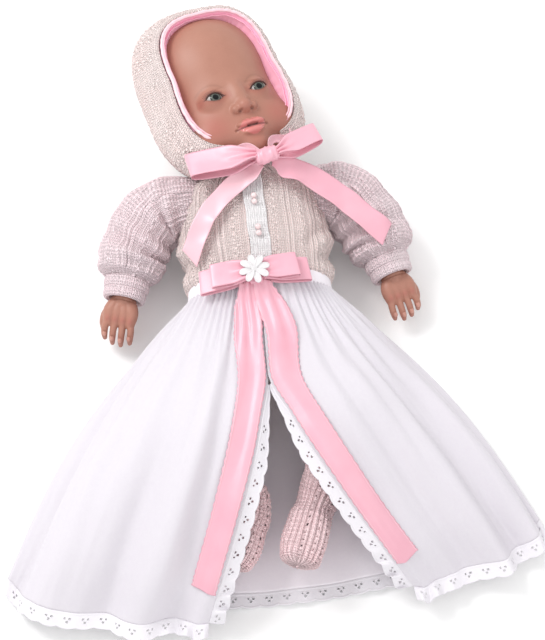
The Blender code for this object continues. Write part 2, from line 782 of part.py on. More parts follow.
def make_sleeve(side, body):
    sign = SIDES[side]
    path = smooth_path(
        [mirrored(Vector(p), side) for p in (
            (0.0615, 0.0900, 0.0460), (0.0760, 0.0860, 0.0430), (0.0905, 0.0720, 0.0375),
            (0.1010, 0.0540, 0.0330), (0.1045, 0.0405, 0.0308), (0.1063, 0.0340, 0.0301))],
        SLEEVE_STEPS,
    )
    radii = smooth_values([0.0235, 0.0265, 0.0270, 0.0255, 0.0205, 0.0165], SLEEVE_STEPS)
    sleeve = pipe(path, radii, SLEEVE_WALL, 16, X_AXIS * sign)
    add_piece(f"sleeve_{side}", sleeve, PINK_KNIT, body)
    axis = (mirrored(WRIST, side) - mirrored(ELBOW, side)).normalized()
    cuff = rolled_band(
        path[-1] + axis * 0.0095, axis, Z_AXIS, 0.0118, 0.0180, 0.0165, 16
    )
    add_piece(f"cuff_{side}", cuff, PINK_KNIT, body)


def make_forearm(side, body):
    """The porcelain forearm and hand, with a hollow top where the cloth arm is tied in."""
    elbow = mirrored(ELBOW, side)
    wrist = mirrored(WRIST, side)
    along = (wrist - elbow).normalized()
    across = along.cross(Z_AXIS).normalized()
    rise = across.cross(along)
    start = elbow + along * GAP * 2
    reach = (wrist - start).length

    def section(distance, width, depth, drop=0.0):
        centre = start + along * distance - Z_AXIS * drop
        return ellipse(centre, across, rise, width, depth, 12)

    bore = FOREARM_RADIUS - FOREARM_WALL
    rings = [
        section(0.010, bore, bore),
        section(0.0, bore, bore),
        section(0.0, FOREARM_RADIUS, FOREARM_RADIUS),
        section(0.010, 0.0100, 0.0100),
        section(reach * 0.75, 0.0092, 0.0085),
        section(reach, 0.0088, 0.0075),
        section(reach + 0.007, 0.0115, 0.0078, 0.0005),
        section(reach + 0.014, 0.0128, 0.0076, 0.0015),
        section(reach + 0.019, 0.0118, 0.0066, 0.0025),
        section(reach + 0.021, 0.0080, 0.0045, 0.0030),
    ]
    arm = add_piece(f"forearm_{side}", skin(rings), PORCELAIN, body)
    palm = start + along * (reach + 0.0165) - Z_AXIS * 0.002
    thumb_way = 1 if side == "left" else -1
    fingers = []
    for number in range(4):
        offset = (number - 1.5) * 0.0058
        length = (0.0165, 0.0185, 0.0175, 0.0140)[number]
        root = palm + across * offset
        spread = across * (number - 1.5) * 0.0008
        middle = root + along * length * 0.6 + spread - Z_AXIS * 0.0015
        tip = root + along * length * 0.95 + spread * 1.5 - Z_AXIS * 0.0070
        finger = smooth_path([root, middle, tip], 3)
        fingers.append(tube(finger, [0.0034, 0.0034, 0.0031, 0.0020], 6))
    base = start + along * (reach + 0.006) - across * 0.0085 * thumb_way - Z_AXIS * 0.002
    thumb = smooth_path(
        [base, base - across * 0.0055 * thumb_way + along * 0.0075,
         base - across * 0.0055 * thumb_way + along * 0.0150 - Z_AXIS * 0.003],
        3,
    )
    fingers.append(tube(thumb, [0.0042, 0.0040, 0.0036, 0.0022], 6))
    join_shapes(arm, fingers, "UNION")
    tie = rolled_band(
        elbow - along * 0.0060, along, Z_AXIS, 0.0112, 0.0126, 0.0026, 12
    )
    return tie


# ---- legs ----


def make_upper_leg(side, body):
    hip = mirrored(HIP, side)
    knee = mirrored(KNEE, side)
    along = (ANKLES[side] - knee).normalized()
    size = Vector((HIP_BALL, HIP_BALL, HIP_BALL))
    leg = add_piece(f"upper_leg_{side}", ball(hip, size, 14, 8), CALICO, body)
    before_knee = knee - along * 0.020
    path = smooth_path([hip, hip.lerp(before_knee, 0.5), before_knee, knee - along * GAP], 7)
    radii = smooth_values([0.0165, 0.0180, 0.0150, 0.0102], 7)
    join_shapes(leg, [tube(path, radii, 14)], "UNION")


def make_lower_leg(side, body):
    knee = mirrored(KNEE, side)
    ankle = ANKLES[side]
    toe = TOES[side]
    along = (ankle - knee).normalized()
    across = along.cross(Z_AXIS).normalized()
    rise = across.cross(along)
    start = knee + along * GAP * 2
    bore = SHIN_RADIUS - SHIN_WALL

    def section(centre, radius):
        return ellipse(centre, across, rise, radius, radius, 14)

    foot_way = (toe - ankle).normalized()
    foot_across = foot_way.cross(Z_AXIS).normalized()
    foot_rise = foot_across.cross(foot_way)

    def sole(distance, width, height):
        centre = ankle + foot_way * distance
        return ellipse(centre, foot_across, foot_rise, width, height, 14)

    rings = [
        section(start + along * 0.012, bore),
        section(start, bore),
        section(start, SHIN_RADIUS),
        section(start.lerp(ankle, 0.30), SHIN_RADIUS * 1.10),
        section(start.lerp(ankle, 0.65), SHIN_RADIUS * 0.98),
        section(start.lerp(ankle, 0.90), 0.0108),
        sole(0.006, 0.0108, 0.0122),
        sole(0.018, 0.0112, 0.0128),
        sole(0.032, 0.0125, 0.0110),
        sole(0.042, 0.0118, 0.0088),
        sole(0.047, 0.0085, 0.0060),
    ]
    add_piece(f"lower_leg_{side}", skin(rings), PORCELAIN, body)
    wall = 0.0024
    clear = 0.0010

    def boot(inset):
        r = wall + clear - inset
        return [
            section(start.lerp(ankle, 0.52), 0.0170 + r - 0.0010),
            section(start.lerp(ankle, 0.62), 0.0150 + r),
            section(start.lerp(ankle, 0.74), 0.0134 + r),
            section(start.lerp(ankle, 0.90), 0.0112 + r),
            sole(0.006, 0.0112 + r, 0.0128 + r),
            sole(0.018, 0.0116 + r, 0.0134 + r),
            sole(0.032, 0.0129 + r, 0.0116 + r),
            sole(0.0425 - inset * 0.3, 0.0122 + r, 0.0094 + r),
            sole(0.0505 - inset, 0.0082 + r, 0.0060 + r),
        ]

    rings = boot(0.0) + boot(wall)[::-1]
    add_piece(f"bootie_{side}", skin(rings), PINK_KNIT, body)
    cuff_middle = start.lerp(ankle, 0.56)
    outside = Vector((SIDES[side] * 0.55, 0, 0.85)).normalized()
    outside = (outside - along * outside.dot(along)).normalized()
    pompom = cuff_middle + outside * (0.0170 + wall + 0.0062)
    size = Vector((0.0055, 0.0055, 0.0055))
    add_piece(f"bootie_pompom_{side}", ball(pompom, size, 9, 6), POMPOM, body)
    tie = rolled_band(
        knee - along * 0.0036, along, Z_AXIS, 0.0142, 0.0156, 0.0028, 14
    )
    return tie


def main():
    clear_scene()
    torso = add_empty("body_torso", Vector((0, 0, 0)))
    neck = add_empty("body_neck", NECK, torso)
    head = add_empty("body_head", NECK, neck)
    make_torso(torso)
    make_bodice(torso)
    make_placket(torso)
    make_waist(torso)
    make_skirt_back(torso)
    make_waist_bow(torso)
    make_neck(neck)
    make_head(head)
    make_bonnet(head)
    make_chin_bow(head)
    for side in SIDES:
        make_skirt_front(side, torso)
        upper_arm = add_empty(f"body_upper_arm_{side}", mirrored(SHOULDER, side), torso)
        forearm = add_empty(f"body_forearm_{side}", mirrored(ELBOW, side), upper_arm)
        make_upper_arm(side, upper_arm)
        make_sleeve(side, upper_arm)
        tie = make_forearm(side, forearm)
        add_piece(f"arm_tie_{side}", tie, CORD, upper_arm)
        upper_leg = add_empty(f"body_upper_leg_{side}", mirrored(HIP, side), torso)
        lower_leg = add_empty(f"body_lower_leg_{side}", mirrored(KNEE, side), upper_leg)
        make_upper_leg(side, upper_leg)
        tie = make_lower_leg(side, lower_leg)
        add_piece(f"leg_tie_{side}", tie, CORD, upper_leg)


main()
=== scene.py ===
"""The looks of a baby doll that lies on its back in a knitted and batiste christening gown.

Shapes are drawn in the design's own frame: +X is the doll's left side, +Y runs from the feet to
the head and +Z is up from the surface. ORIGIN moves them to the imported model's place.
"""

import json
import math

import bmesh
import bpy
import numpy as np
from mathutils import Matrix, Vector


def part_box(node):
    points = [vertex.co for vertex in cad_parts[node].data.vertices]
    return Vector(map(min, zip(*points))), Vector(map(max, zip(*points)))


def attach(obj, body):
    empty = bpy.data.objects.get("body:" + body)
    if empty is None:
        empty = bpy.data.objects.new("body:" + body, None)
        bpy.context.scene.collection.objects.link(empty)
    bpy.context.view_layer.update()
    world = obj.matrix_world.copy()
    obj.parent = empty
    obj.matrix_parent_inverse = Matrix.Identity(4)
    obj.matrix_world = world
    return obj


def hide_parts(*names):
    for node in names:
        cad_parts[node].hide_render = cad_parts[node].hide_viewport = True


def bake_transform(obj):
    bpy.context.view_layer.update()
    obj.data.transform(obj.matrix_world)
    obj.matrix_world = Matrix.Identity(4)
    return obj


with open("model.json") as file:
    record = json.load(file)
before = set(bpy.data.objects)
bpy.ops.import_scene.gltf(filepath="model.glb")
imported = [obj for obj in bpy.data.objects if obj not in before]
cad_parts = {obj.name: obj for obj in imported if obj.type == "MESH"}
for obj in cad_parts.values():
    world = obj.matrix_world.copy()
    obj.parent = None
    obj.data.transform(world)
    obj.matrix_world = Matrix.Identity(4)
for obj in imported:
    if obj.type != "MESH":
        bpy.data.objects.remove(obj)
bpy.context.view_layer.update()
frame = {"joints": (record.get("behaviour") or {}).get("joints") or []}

SIDES = {"left": 1, "right": -1}
JOINTS = {joint["name"]: joint for joint in frame["joints"]}
NECK = np.array((-0.0035, 0.1193, 0.060))
ORIGIN = np.array(JOINTS["head_turn"]["pos_m"]) - NECK

# ---- dimensions shared with the CAD model ----

HEAD_MATRIX = (
    Matrix.Rotation(math.radians(19), 3, "Z")
    @ Matrix.Rotation(math.radians(13), 3, "Y")
    @ Matrix.Rotation(math.radians(6), 3, "X")
)
HEAD = np.array(HEAD_MATRIX)
EYE = np.array((0.0195, 0.040, 0.0385))
EYE_RADIUS = 0.0095
BONNET_CENTRE = np.array((0.0005, 0.0665, 0.001))
BONNET_HALF = np.array((0.0585, 0.0705, 0.060))
BONNET_RIM = 0.038
CHEST = (0.058, 0.043, 0.0445)
WAIST_Y = 0.009
SHOULDER = np.array((0.058, 0.090, 0.046))
ELBOW = np.array((0.104, 0.042, 0.031))
WRIST = np.array((0.1115, 0.016, 0.028))
HIP = np.array((0.030, -0.045, 0.044))
KNEE = np.array((0.060, -0.110, 0.054))
ANKLES = {"left": np.array((0.026, -0.170, 0.037)), "right": np.array((-0.020, -0.166, 0.034))}
TOES = {"left": np.array((0.007, -0.219, 0.045)), "right": np.array((-0.040, -0.205, 0.036))}
SKIRT_TOP = -0.0002
SEAM_POINTS = [
    (0.0575, SKIRT_TOP, 0.0445), (0.079, -0.012, 0.028), (0.104, -0.032, 0.011),
    (0.130, -0.058, 0.0012), (0.158, -0.098, 0.0012), (0.182, -0.142, 0.0012),
    (0.2045, -0.190, 0.0012),
]
SLIT_POINTS = {
    "left": [(0.0012, SKIRT_TOP, 0.087), (0.003, -0.045, 0.086), (0.004, -0.085, 0.083),
             (0.020, -0.125, 0.078), (0.046, -0.171, 0.068), (0.073, -0.210, 0.048),
             (0.095, -0.236, 0.020)],
    "right": [(-0.0012, SKIRT_TOP, 0.087), (-0.003, -0.045, 0.086), (-0.004, -0.085, 0.083),
              (-0.014, -0.130, 0.079), (-0.031, -0.178, 0.069), (-0.049, -0.220, 0.048),
              (-0.063, -0.249, 0.019)],
}
SIDE_SHIFT = {"left": -0.002, "right": -0.010}
BACK_HEM_Y = -0.226
KNEE_BUMP = 0.013
RIBBON_WIDTH = 0.0195
X_AXIS = np.array((1.0, 0.0, 0.0))
Y_AXIS = np.array((0.0, 1.0, 0.0))
Z_AXIS = np.array((0.0, 0.0, 1.0))


# ---- numbers and curves ----


def unit(v):
    v = np.asarray(v, float)
    return v / np.maximum(np.linalg.norm(v, axis=-1, keepdims=True), 1e-12)


def step(low, high, x):
    """A smooth rise from 0 at low to 1 at high."""
    t = np.clip((x - low) / (high - low), 0, 1)
    return t * t * (3 - 2 * t)


def bell(x, width):
    return np.exp(-((x / width) ** 2))


def ripple(x, y, seed):
    """Slow, even variation between -1 and 1, the same on every run."""
    a = np.sin(1.7 * x + 0.9 * y + 2.1 * seed)
    b = np.sin(-1.1 * x + 2.3 * y + 4.7 * seed + 0.8 * a)
    c = np.sin(2.9 * x + 1.3 * y + 1.3 * seed + 0.9 * b)
    return (a + b + c) / 3


def curve(points, count):
    """Points on a Catmull-Rom curve through the given ones."""
    p = np.asarray(points, float)
    p = p[:, None] if p.ndim == 1 else p
    ends = np.vstack([2 * p[0] - p[1], p, 2 * p[-1] - p[-2]])
    along = np.linspace(0, len(p) - 1, count)
    first = np.minimum(along.astype(int), len(p) - 2)
    t = (along - first)[:, None]
    a, b, c, d = (ends[first + k] for k in range(4))
    made = 0.5 * (2 * b + (c - a) * t + (2 * a - 5 * b + 4 * c - d) * t**2)
    made = made + 0.5 * (3 * b - a - 3 * c + d) * t**3
    return made[:, 0] if made.shape[1] == 1 else made


def mirrored(point, side):
    return np.asarray(point, float) * (SIDES[side], 1, 1)


def in_head(points):
    return np.asarray(points) @ HEAD.T + NECK


# ---- meshes ----


def add_mesh(name, verts, faces, material, uv=None, place=True):
    """A smooth object from points in the design's frame. uv holds one pair for each corner."""
    verts = np.asarray(verts, float) + (ORIGIN if place else 0)
    mesh = bpy.data.meshes.new(name)
    mesh.from_pydata(verts.tolist(), [], [list(map(int, f)) for f in faces])
    mesh.update()
    mesh.shade_smooth()
    if uv is not None:
        layer = mesh.uv_layers.new(name="UVMap")
        layer.data.foreach_set("uv", np.asarray(uv, float).ravel())
    mesh.materials.append(material)
    obj = bpy.data.objects.new(name, mesh)
    bpy.context.collection.objects.link(obj)
    return obj


def turn_outward(obj):
    bm = bmesh.new()
    bm.from_mesh(obj.data)
    bmesh.ops.recalc_face_normals(bm, faces=bm.faces)
    bm.to_mesh(obj.data)
    bm.free()


def grid_parts(p, closed=False):
    """Faces and corner UVs, in metres, of a grid of points with rows and columns."""
    rows, columns = p.shape[:2]
    spans = columns if closed else columns - 1
    i, j = np.meshgrid(np.arange(rows - 1), np.arange(spans), indexing="ij")
    k = (j + 1) % columns
    faces = np.stack([i * columns + j, i * columns + k, (i + 1) * columns + k,
                      (i + 1) * columns + j], -1).reshape(-1, 4)
    wrapped = np.concatenate([p, p[:, :1]], 1) if closed else p
    across = np.linalg.norm(np.diff(wrapped, axis=1), axis=-1).mean(0)
    down = np.linalg.norm(np.diff(p, axis=0), axis=-1).mean(1)
    u = np.concatenate([[0], np.cumsum(across)])
    v = np.concatenate([[0], np.cumsum(down)])
    uv = np.stack([np.stack([u[j], v[i]], -1), np.stack([u[j + 1], v[i]], -1),
                   np.stack([u[j + 1], v[i + 1]], -1), np.stack([u[j], v[i + 1]], -1)], -2)
    return faces, uv.reshape(-1, 2)


def add_grid(name, p, material, closed=False, caps=False):
    faces, uv = grid_parts(p, closed)
    rows, columns = p.shape[:2]
    faces = faces.tolist()
    if caps:
        faces += [list(range(columns))[::-1], list(range((rows - 1) * columns, rows * columns))]
        uv = np.concatenate([uv, np.zeros((2 * columns, 2))])
    obj = add_mesh(name, p.reshape(-1, 3), faces, material, uv)
    turn_outward(obj)
    return obj


def grid_normals(p, closed=False):
    """Unit normals of a grid of points."""
    if closed:
        over = np.roll(p, -1, 1) - np.roll(p, 1, 1)
    else:
        over = np.gradient(p, axis=1)
    down = np.gradient(p, axis=0)
    return unit(np.cross(down, over))


def bake_modifiers(obj):
    """Turn an object's modifiers into mesh."""
    bpy.context.view_layer.update()
    evaluated = obj.evaluated_get(bpy.context.evaluated_depsgraph_get())
    mesh = bpy.data.meshes.new_from_object(evaluated)
    old = obj.data
    obj.modifiers.clear()
    obj.data = mesh
    name = old.name
    bpy.data.meshes.remove(old)
    mesh.name = name
    mesh.shade_smooth()
    return obj


def thicken(obj, thickness, levels=0):
    """Give a sheet its thickness, half on each side."""
    solid = obj.modifiers.new("thickness", "SOLIDIFY")
    solid.thickness = thickness
    solid.offset = 0
    solid.use_even_offset = False
    if levels:
        obj.modifiers.new("soft", "SUBSURF").levels = levels
    return bake_modifiers(obj)


def joined(name, objects):
    """Several meshes as one object."""
    bm = bmesh.new()
    for obj in objects:
        bm.from_mesh(obj.data)
    mesh = bpy.data.meshes.new(name)
    bm.to_mesh(mesh)
    bm.free()
    mesh.materials.append(objects[0].data.materials[0])
    for obj in objects:
        bpy.data.objects.remove(obj, do_unlink=True)
    made = bpy.data.objects.new(name, mesh)
    bpy.context.collection.objects.link(made)
    mesh.shade_smooth()
    return made


def section_frame(path, first_axis=None):
    """For each point of a path, the two directions square to it."""
    along = np.gradient(path, axis=0)
    if first_axis is not None:
        along[0] = first_axis
    along = unit(along)
    across = unit(np.cross(along, Z_AXIS))
    return along, across, np.cross(across, along)


def tube_points(path, radii, count, first_axis=None, flat=1.0):
    """Rings of points round a path."""
    _, across, rise = section_frame(path, first_axis)
    turn = 2 * np.pi * (np.arange(count) + 0.5) / count
    radii = np.asarray(radii, float)[:, None, None]
    ring = across[:, None] * np.sin(turn)[None, :, None]
    ring = ring + rise[:, None] * np.cos(turn)[None, :, None] * flat
    return path[:, None] + ring * radii


def remesh(obj, voxel, smooth=0):
    """Fuse overlapping shapes into one even skin."""
    fuse = obj.modifiers.new("fuse", "REMESH")
    fuse.mode = "VOXEL"
    fuse.voxel_size = voxel
    if smooth:
        soften = obj.modifiers.new("soften", "SMOOTH")
        soften.factor = 0.5
        soften.iterations = smooth
    return bake_modifiers(obj)


# ---- materials ----


class Nodes:
    """A short way to write a material's nodes."""

    def __init__(self, name, colour, roughness, **settings):
        self.material = bpy.data.materials.new(name)
        self.material.use_nodes = True
        self.tree = self.material.node_tree
        self.shader = self.tree.nodes["Principled BSDF"]
        self.set("Base Color", (*colour, 1.0))
        self.set("Roughness", roughness)
        for key, value in settings.items():
            self.set(key.replace("_", " "), value)

    def set(self, key, value):
        self.shader.inputs[key].default_value = value

    def add(self, kind, inputs=(), **settings):
        node = self.tree.nodes.new(kind)
        for key, value in settings.items():
            setattr(node, key, value)
        for key, value in dict(inputs).items():
            if hasattr(value, "is_output"):
                self.tree.links.new(value, node.inputs[key])
            else:
                node.inputs[key].default_value = value
        return node.outputs

    def math(self, operation, a, b=0.0, c=0.0):
        return self.add("ShaderNodeMath", {0: a, 1: b, 2: c}, operation=operation)[0]

    def link(self, output, key):
        self.tree.links.new(output, self.shader.inputs[key])

    def mix(self, share, a, b, blend="MIX"):
        inputs = {0: share, 6: a, 7: b}
        return self.add("ShaderNodeMix", inputs, data_type="RGBA", blend_type=blend)[2]

    def noise(self, scale, detail=2.0, vector=None):
        inputs = {"Scale": scale, "Detail": detail}
        if vector is not None:
            inputs["Vector"] = vector
        return self.add("ShaderNodeTexNoise", inputs)["Fac"]

    def place(self):
        return self.add("ShaderNodeTexCoord")["Object"]

    def bump(self, height, distance, strength=1.0, normal=None):
        inputs = {"Height": height, "Distance": distance, "Strength": strength}
        if normal is not None:
            inputs["Normal"] = normal
        return self.add("ShaderNodeBump", inputs)["Normal"]

    def attribute(self, name):
        return self.add("ShaderNodeAttribute", attribute_name=name)["Fac"]

    def uv(self):
        split = self.add("ShaderNodeSeparateXYZ", {0: self.add("ShaderNodeUVMap", uv_map="UVMap")[0]})
        return split[0], split[1]


def wave(nodes, value, period):
    """A sine along a coordinate, from 0 to 1."""
    turned = nodes.math("MULTIPLY", value, 2 * math.pi / period)
    return nodes.math("MULTIPLY_ADD", nodes.math("SINE", turned), 0.5, 0.5)


def knit_material(name, colour, shade, stitch=0.0030, row=0.0025, deep=0.0016):
    """Plain knitting: columns of V stitches, with a fuzzy, uneven yarn and painted shade between the loops."""
    n = Nodes(name, colour, 0.95, Sheen_Weight=0.12, Sheen_Roughness=0.5, Specular_IOR_Level=0.15)
    n.set("Sheen Tint", (1.0, 0.86, 0.86, 1.0))
    u, v = n.uv()
    place = n.place()
    drift = n.math("MULTIPLY", n.math("SUBTRACT", n.noise(260, 2.0, place), 0.5), 0.0009)
    column = n.math("MULTIPLY", n.math("ADD", u, drift), 1 / stitch)
    across = n.math("ABSOLUTE", n.math("SUBTRACT", n.math("FRACT", column), 0.5))
    slant = n.math("MULTIPLY_ADD", across, 1.5, n.math("MULTIPLY", n.math("ADD", v, drift), 1 / row))
    loops = n.math("MULTIPLY_ADD", n.math("SINE", n.math("MULTIPLY", slant, 2 * math.pi)), 0.5, 0.5)
    wale = n.math("SINE", n.math("MULTIPLY", across, 2 * math.pi))
    height = n.math("MULTIPLY", n.math("MULTIPLY_ADD", loops, 0.65, 0.35), wale)
    fuzz = n.noise(1500, 3.0, place)
    n.link(n.bump(n.math("MULTIPLY_ADD", fuzz, 0.45, height), deep, 1.0), "Normal")
    # The valleys between the loops take the shade colour: painted shade.
    tone = n.mix(n.math("MULTIPLY_ADD", height, 1.1, 0.28), (*shade, 1), (*colour, 1))
    blotch = n.mix(n.noise(28, 3.0, place), tone, (*[min(1.0, c * 1.04) for c in colour], 1))
    n.link(blotch, "Base Color")
    return n.material


def satin_material(name, colour, light):
    """Woven satin: a fine weft, a soft directional gloss and slow creases."""
    n = Nodes(name, colour, 0.33, Anisotropic=0.4, Sheen_Weight=0.10, Sheen_Roughness=0.3)
    n.set("Sheen Tint", (*light, 1.0))
    n.set("Specular IOR Level", 0.65)
    _, v = n.uv()
    place = n.place()
    weft = wave(n, v, 0.00042)
    soft = n.noise(55, 2.0, place)
    weave = n.bump(weft, 0.00004, 0.35)
    n.link(n.bump(soft, 0.0011, 0.45, weave), "Normal")
    n.link(n.mix(n.noise(40, 2.0, place), (*colour, 1), (*light, 1)), "Base Color")
    return n.material


def batiste_material(name, colour, alpha):
    """Thin plain-weave cotton, which lets some light and colour through."""
    n = Nodes(name, colour, 0.85, Sheen_Weight=0.15, Specular_IOR_Level=0.15)
    n.set("Alpha", alpha)
    u, v = n.uv()
    place = n.place()
    warp = wave(n, u, 0.00062)
    weft = wave(n, v, 0.00062)
    weave = n.math("MULTIPLY", warp, weft)
    slub = n.noise(700, 2.0, place)
    crease = n.bump(n.noise(30, 4.0, place), 0.0022, 0.35)
    n.link(n.bump(n.math("MULTIPLY_ADD", slub, 0.6, weave), 0.00009, 0.6, crease), "Normal")
    shade = (colour[0] * 0.93, colour[1] * 0.90, colour[2] * 0.95, 1)
    n.link(n.mix(n.math("MULTIPLY", n.noise(420, 3.0, place), 0.55), (*colour, 1), shade), "Base Color")
    return n.material


def porcelain_material():
    """Matt tinted porcelain; vertex masks give it rosy skin, painted lips and brows, and painted shade."""
    n = Nodes("porcelain_skin", (0.435, 0.215, 0.150), 0.50, Specular_IOR_Level=0.42)
    n.set("Coat Weight", 0.10)
    n.set("Coat Roughness", 0.35)
    place = n.place()
    mottled = n.mix(n.noise(70, 4.0, place), (0.390, 0.185, 0.130, 1), (0.460, 0.228, 0.164, 1))
    speck = n.mix(n.math("MULTIPLY", n.noise(900, 2.0, place), 0.35), mottled, (0.32, 0.135, 0.095, 1))
    # This mask carries the cheeks' colour and also painted shade on the sides of the head.
    flush_and_side_shade = n.mix(n.attribute("blush_and_shade"), speck, (0.420, 0.125, 0.100, 1))
    lids = n.mix(n.attribute("lid"), flush_and_side_shade, (0.330, 0.095, 0.070, 1))
    # The lid mask paints shade round the eyes and in the lid creases.
    brows = n.mix(n.attribute("brow"), lids, (0.185, 0.085, 0.055, 1))
    lips = n.mix(n.attribute("lip"), brows, (0.640, 0.215, 0.200, 1))
    # This mask holds the painted lash line and painted shade at the lid rims, mouth, nostrils and nose wings.
    lash_line_and_shade = n.mix(n.attribute("lash_line_and_shade"), lips, (0.060, 0.014, 0.010, 1))
    n.link(lash_line_and_shade, "Base Color")
    gloss = n.math("MULTIPLY_ADD", n.attribute("lip"), -0.30, 0.50)
    n.link(gloss, "Roughness")
    n.link(n.bump(n.noise(1300, 2.0, place), 0.00006, 0.35), "Normal")
    return n.material


def plain_cloth(name, colour):
    n = Nodes(name, colour, 0.95, Sheen_Weight=0.15)
    place = n.place()
    weave = n.bump(n.noise(1600, 2.0, place), 0.0001, 0.6)
    n.link(n.bump(n.noise(90, 3.0, place), 0.0010, 0.4, weave), "Normal")
    n.link(n.mix(n.noise(45, 3.0, place), (*colour, 1), (*[c * 0.85 for c in colour], 1)), "Base Color")
    return n.material


# The _SHADE colours are painted shade for the valleys between the stitches.
PINK = (1.0, 0.87, 0.845)
PINK_SHADE = (0.95, 0.57, 0.54)
KNIT = knit_material("pink_knit_yarn", PINK, PINK_SHADE)
SLEEVE_KNIT = knit_material("sleeve_knit_yarn", (1.0, 0.845, 0.875), (0.95, 0.54, 0.62))
WHITE_KNIT = knit_material("white_knit_yarn", (0.98, 0.96, 0.97), (0.80, 0.72, 0.75), 0.0022, 0.0022, 0.0009)
SATIN = satin_material("pink_satin_ribbon", (0.78, 0.36, 0.45), (0.86, 0.48, 0.56))
PALE_SATIN = satin_material("pale_satin_ribbon", (0.84, 0.48, 0.55), (0.90, 0.58, 0.64))
LINING = satin_material("satin_lining_cloth", (1.0, 0.46, 0.62), (1.0, 0.56, 0.70))
RIM_SATIN = satin_material("rim_satin", (0.90, 0.56, 0.62), (0.94, 0.70, 0.74))
BATISTE = batiste_material("batiste_cloth", (0.80, 0.77, 0.81), 0.86)
# The back panel and waistband use the front's batiste painted lighter: painted light standing in for the light
# that passes through the sheer front panels.
BACK_BATISTE_LIT = batiste_material("back_batiste_lightened_cloth", (0.93, 0.89, 0.93), 1.0)
EYELET = batiste_material("eyelet_trim_cloth", (0.82, 0.80, 0.83), 1.0)
SKIN = porcelain_material()
CALICO = plain_cloth("calico_cloth", (0.72, 0.60, 0.47))
CORD = plain_cloth("tie_cord_yarn", (0.78, 0.70, 0.58))
POMPOM = plain_cloth("pompom_yarn", (0.88, 0.88, 0.87))


# ---- head: distances to its surface, in the upright head's frame ----


def oval(p, centre, half):
    """About how far points are from an ellipsoid."""
    q = p - np.asarray(centre)
    half = np.asarray(half)
    near = np.linalg.norm(q / half, axis=-1)
    steep = np.linalg.norm(q / half**2, axis=-1)
    return near * (near - 1) / np.maximum(steep, 1e-9)


def meld(a, b, soft):
    """Join two distances with a fillet."""
    h = np.clip(0.5 + 0.5 * (b - a) / soft, 0, 1)
    return a * h + b * (1 - h) - soft * h * (1 - h)


def carve(a, b, soft):
    return -meld(-a, b, soft)


MOUTH_Y = 0.0083


def head_distance(p):
    d = oval(p, (0, 0.0690, -0.001), (0.0490, 0.0550, 0.0505))
    d = meld(d, oval(p, (0, 0.0330, 0.0090), (0.0435, 0.0360, 0.0395)), 0.014)
    d = meld(d, oval(p, (0, 0.0020, 0.0180), (0.0260, 0.0120, 0.0200)), 0.010)
    upright = np.maximum(np.abs(p[..., 1] - 0.005) - 0.0250, 0)
    neck = np.sqrt(p[..., 0] ** 2 + p[..., 2] ** 2 + upright**2 * 9) - 0.0165
    d = meld(d, neck, 0.005)
    d = meld(d, oval(p, (0, 0.0085, 0.0365), (0.0165, 0.0125, 0.0122)), 0.009)
    d = meld(d, oval(p, (0, -0.0060, 0.0365), (0.0120, 0.0082, 0.0092)), 0.007)
    d = meld(d, oval(p, (0, 0.0355, 0.0466), (0.0050, 0.0120, 0.0044)), 0.0060)
    for s in (1, -1):
        d = meld(d, oval(p, (0.0225 * s, 0.0150, 0.0222), (0.0205, 0.0180, 0.0205)), 0.010)
        d = carve(d, oval(p, (0.0190 * s, 0.0435, 0.0590), (0.0130, 0.0088, 0.0112)), 0.008)
        eye = np.linalg.norm(p - EYE * (s, 1, 1), axis=-1) - EYE_RADIUS - 0.0010
        d = meld(d, eye, 0.0032)
        crease = oval(p, (0.0195 * s, 0.0464, 0.0488), (0.0088, 0.0007, 0.0030))
        d = carve(d, crease, 0.0016)
    d = meld(d, oval(p, (0, 0.0262, 0.0498), (0.0056, 0.0050, 0.0054)), 0.0040)
    for s in (1, -1):
        d = meld(d, oval(p, (0.0078 * s, 0.0252, 0.0468), (0.0038, 0.0037, 0.0042)), 0.0024)
        d = meld(d, oval(p, (0.0050 * s, 0.0112, 0.0474), (0.0074, 0.0025, 0.0040)), 0.0014)
    d = meld(d, oval(p, (0, 0.0108, 0.0484), (0.0032, 0.0023, 0.0038)), 0.0014)
    d = meld(d, oval(p, (0, 0.0046, 0.0462), (0.0090, 0.0035, 0.0046)), 0.0014)
    d = carve(d, oval(p, (0, -0.0010, 0.0497), (0.0090, 0.0016, 0.0030)), 0.0030)
    d = carve(d, oval(p, (0, 0.0165, 0.0525), (0.0014, 0.0040, 0.0026)), 0.0020)
    d = carve(d, oval(p, (0, MOUTH_Y, 0.0515), (0.0118, 0.0006, 0.0044)), 0.0010)
    d = carve(d, oval(p, (0, MOUTH_Y + 0.0002, 0.0520), (0.0052, 0.0013, 0.0048)), 0.0008)
    for s in (1, -1):
        d = carve(d, oval(p, (0.0052 * s, 0.0222, 0.0512), (0.0019, 0.0012, 0.0030)), 0.0008)
        d = carve(d, oval(p, (0.0132 * s, MOUTH_Y, 0.0452), (0.0012, 0.0008, 0.0016)), 0.0012)
    return d


HEAD_MIDDLE = np.array((0, 0.045, 0.0))


def head_surface(ways):
    """Where rays from the middle of the head leave it."""
    reach = np.full(ways.shape[:-1], 0.12)
    for _ in range(60):
        reach -= 0.75 * head_distance(HEAD_MIDDLE + ways * reach[..., None])
    return HEAD_MIDDLE + ways * reach[..., None]


EYE_HALF_LENGTH = 0.0080
LID_UP = 0.0039
LID_DOWN = 0.0033


def eye_opening(p, side):
    """Above 0 inside the almond between an eye's lids. Also the place in it."""
    a = (p[..., 0] - EYE[0] * side) * side / EYE_HALF_LENGTH
    b = p[..., 1] - EYE[1] - 0.0004 * a
    room = np.clip(1 - a**2, 0, None)
    high = LID_UP * room**0.72
    low = -LID_DOWN * room**0.95
    inside = np.minimum(np.minimum(high - b, b - low), (1 - np.abs(a)) * 0.004)
    return np.where(p[..., 2] > 0.02, inside, -1.0), a, b


def paint(mesh, name, values):
    mesh.attributes.new(name, "FLOAT", "POINT").data.foreach_set("value", np.clip(values, 0, 1))


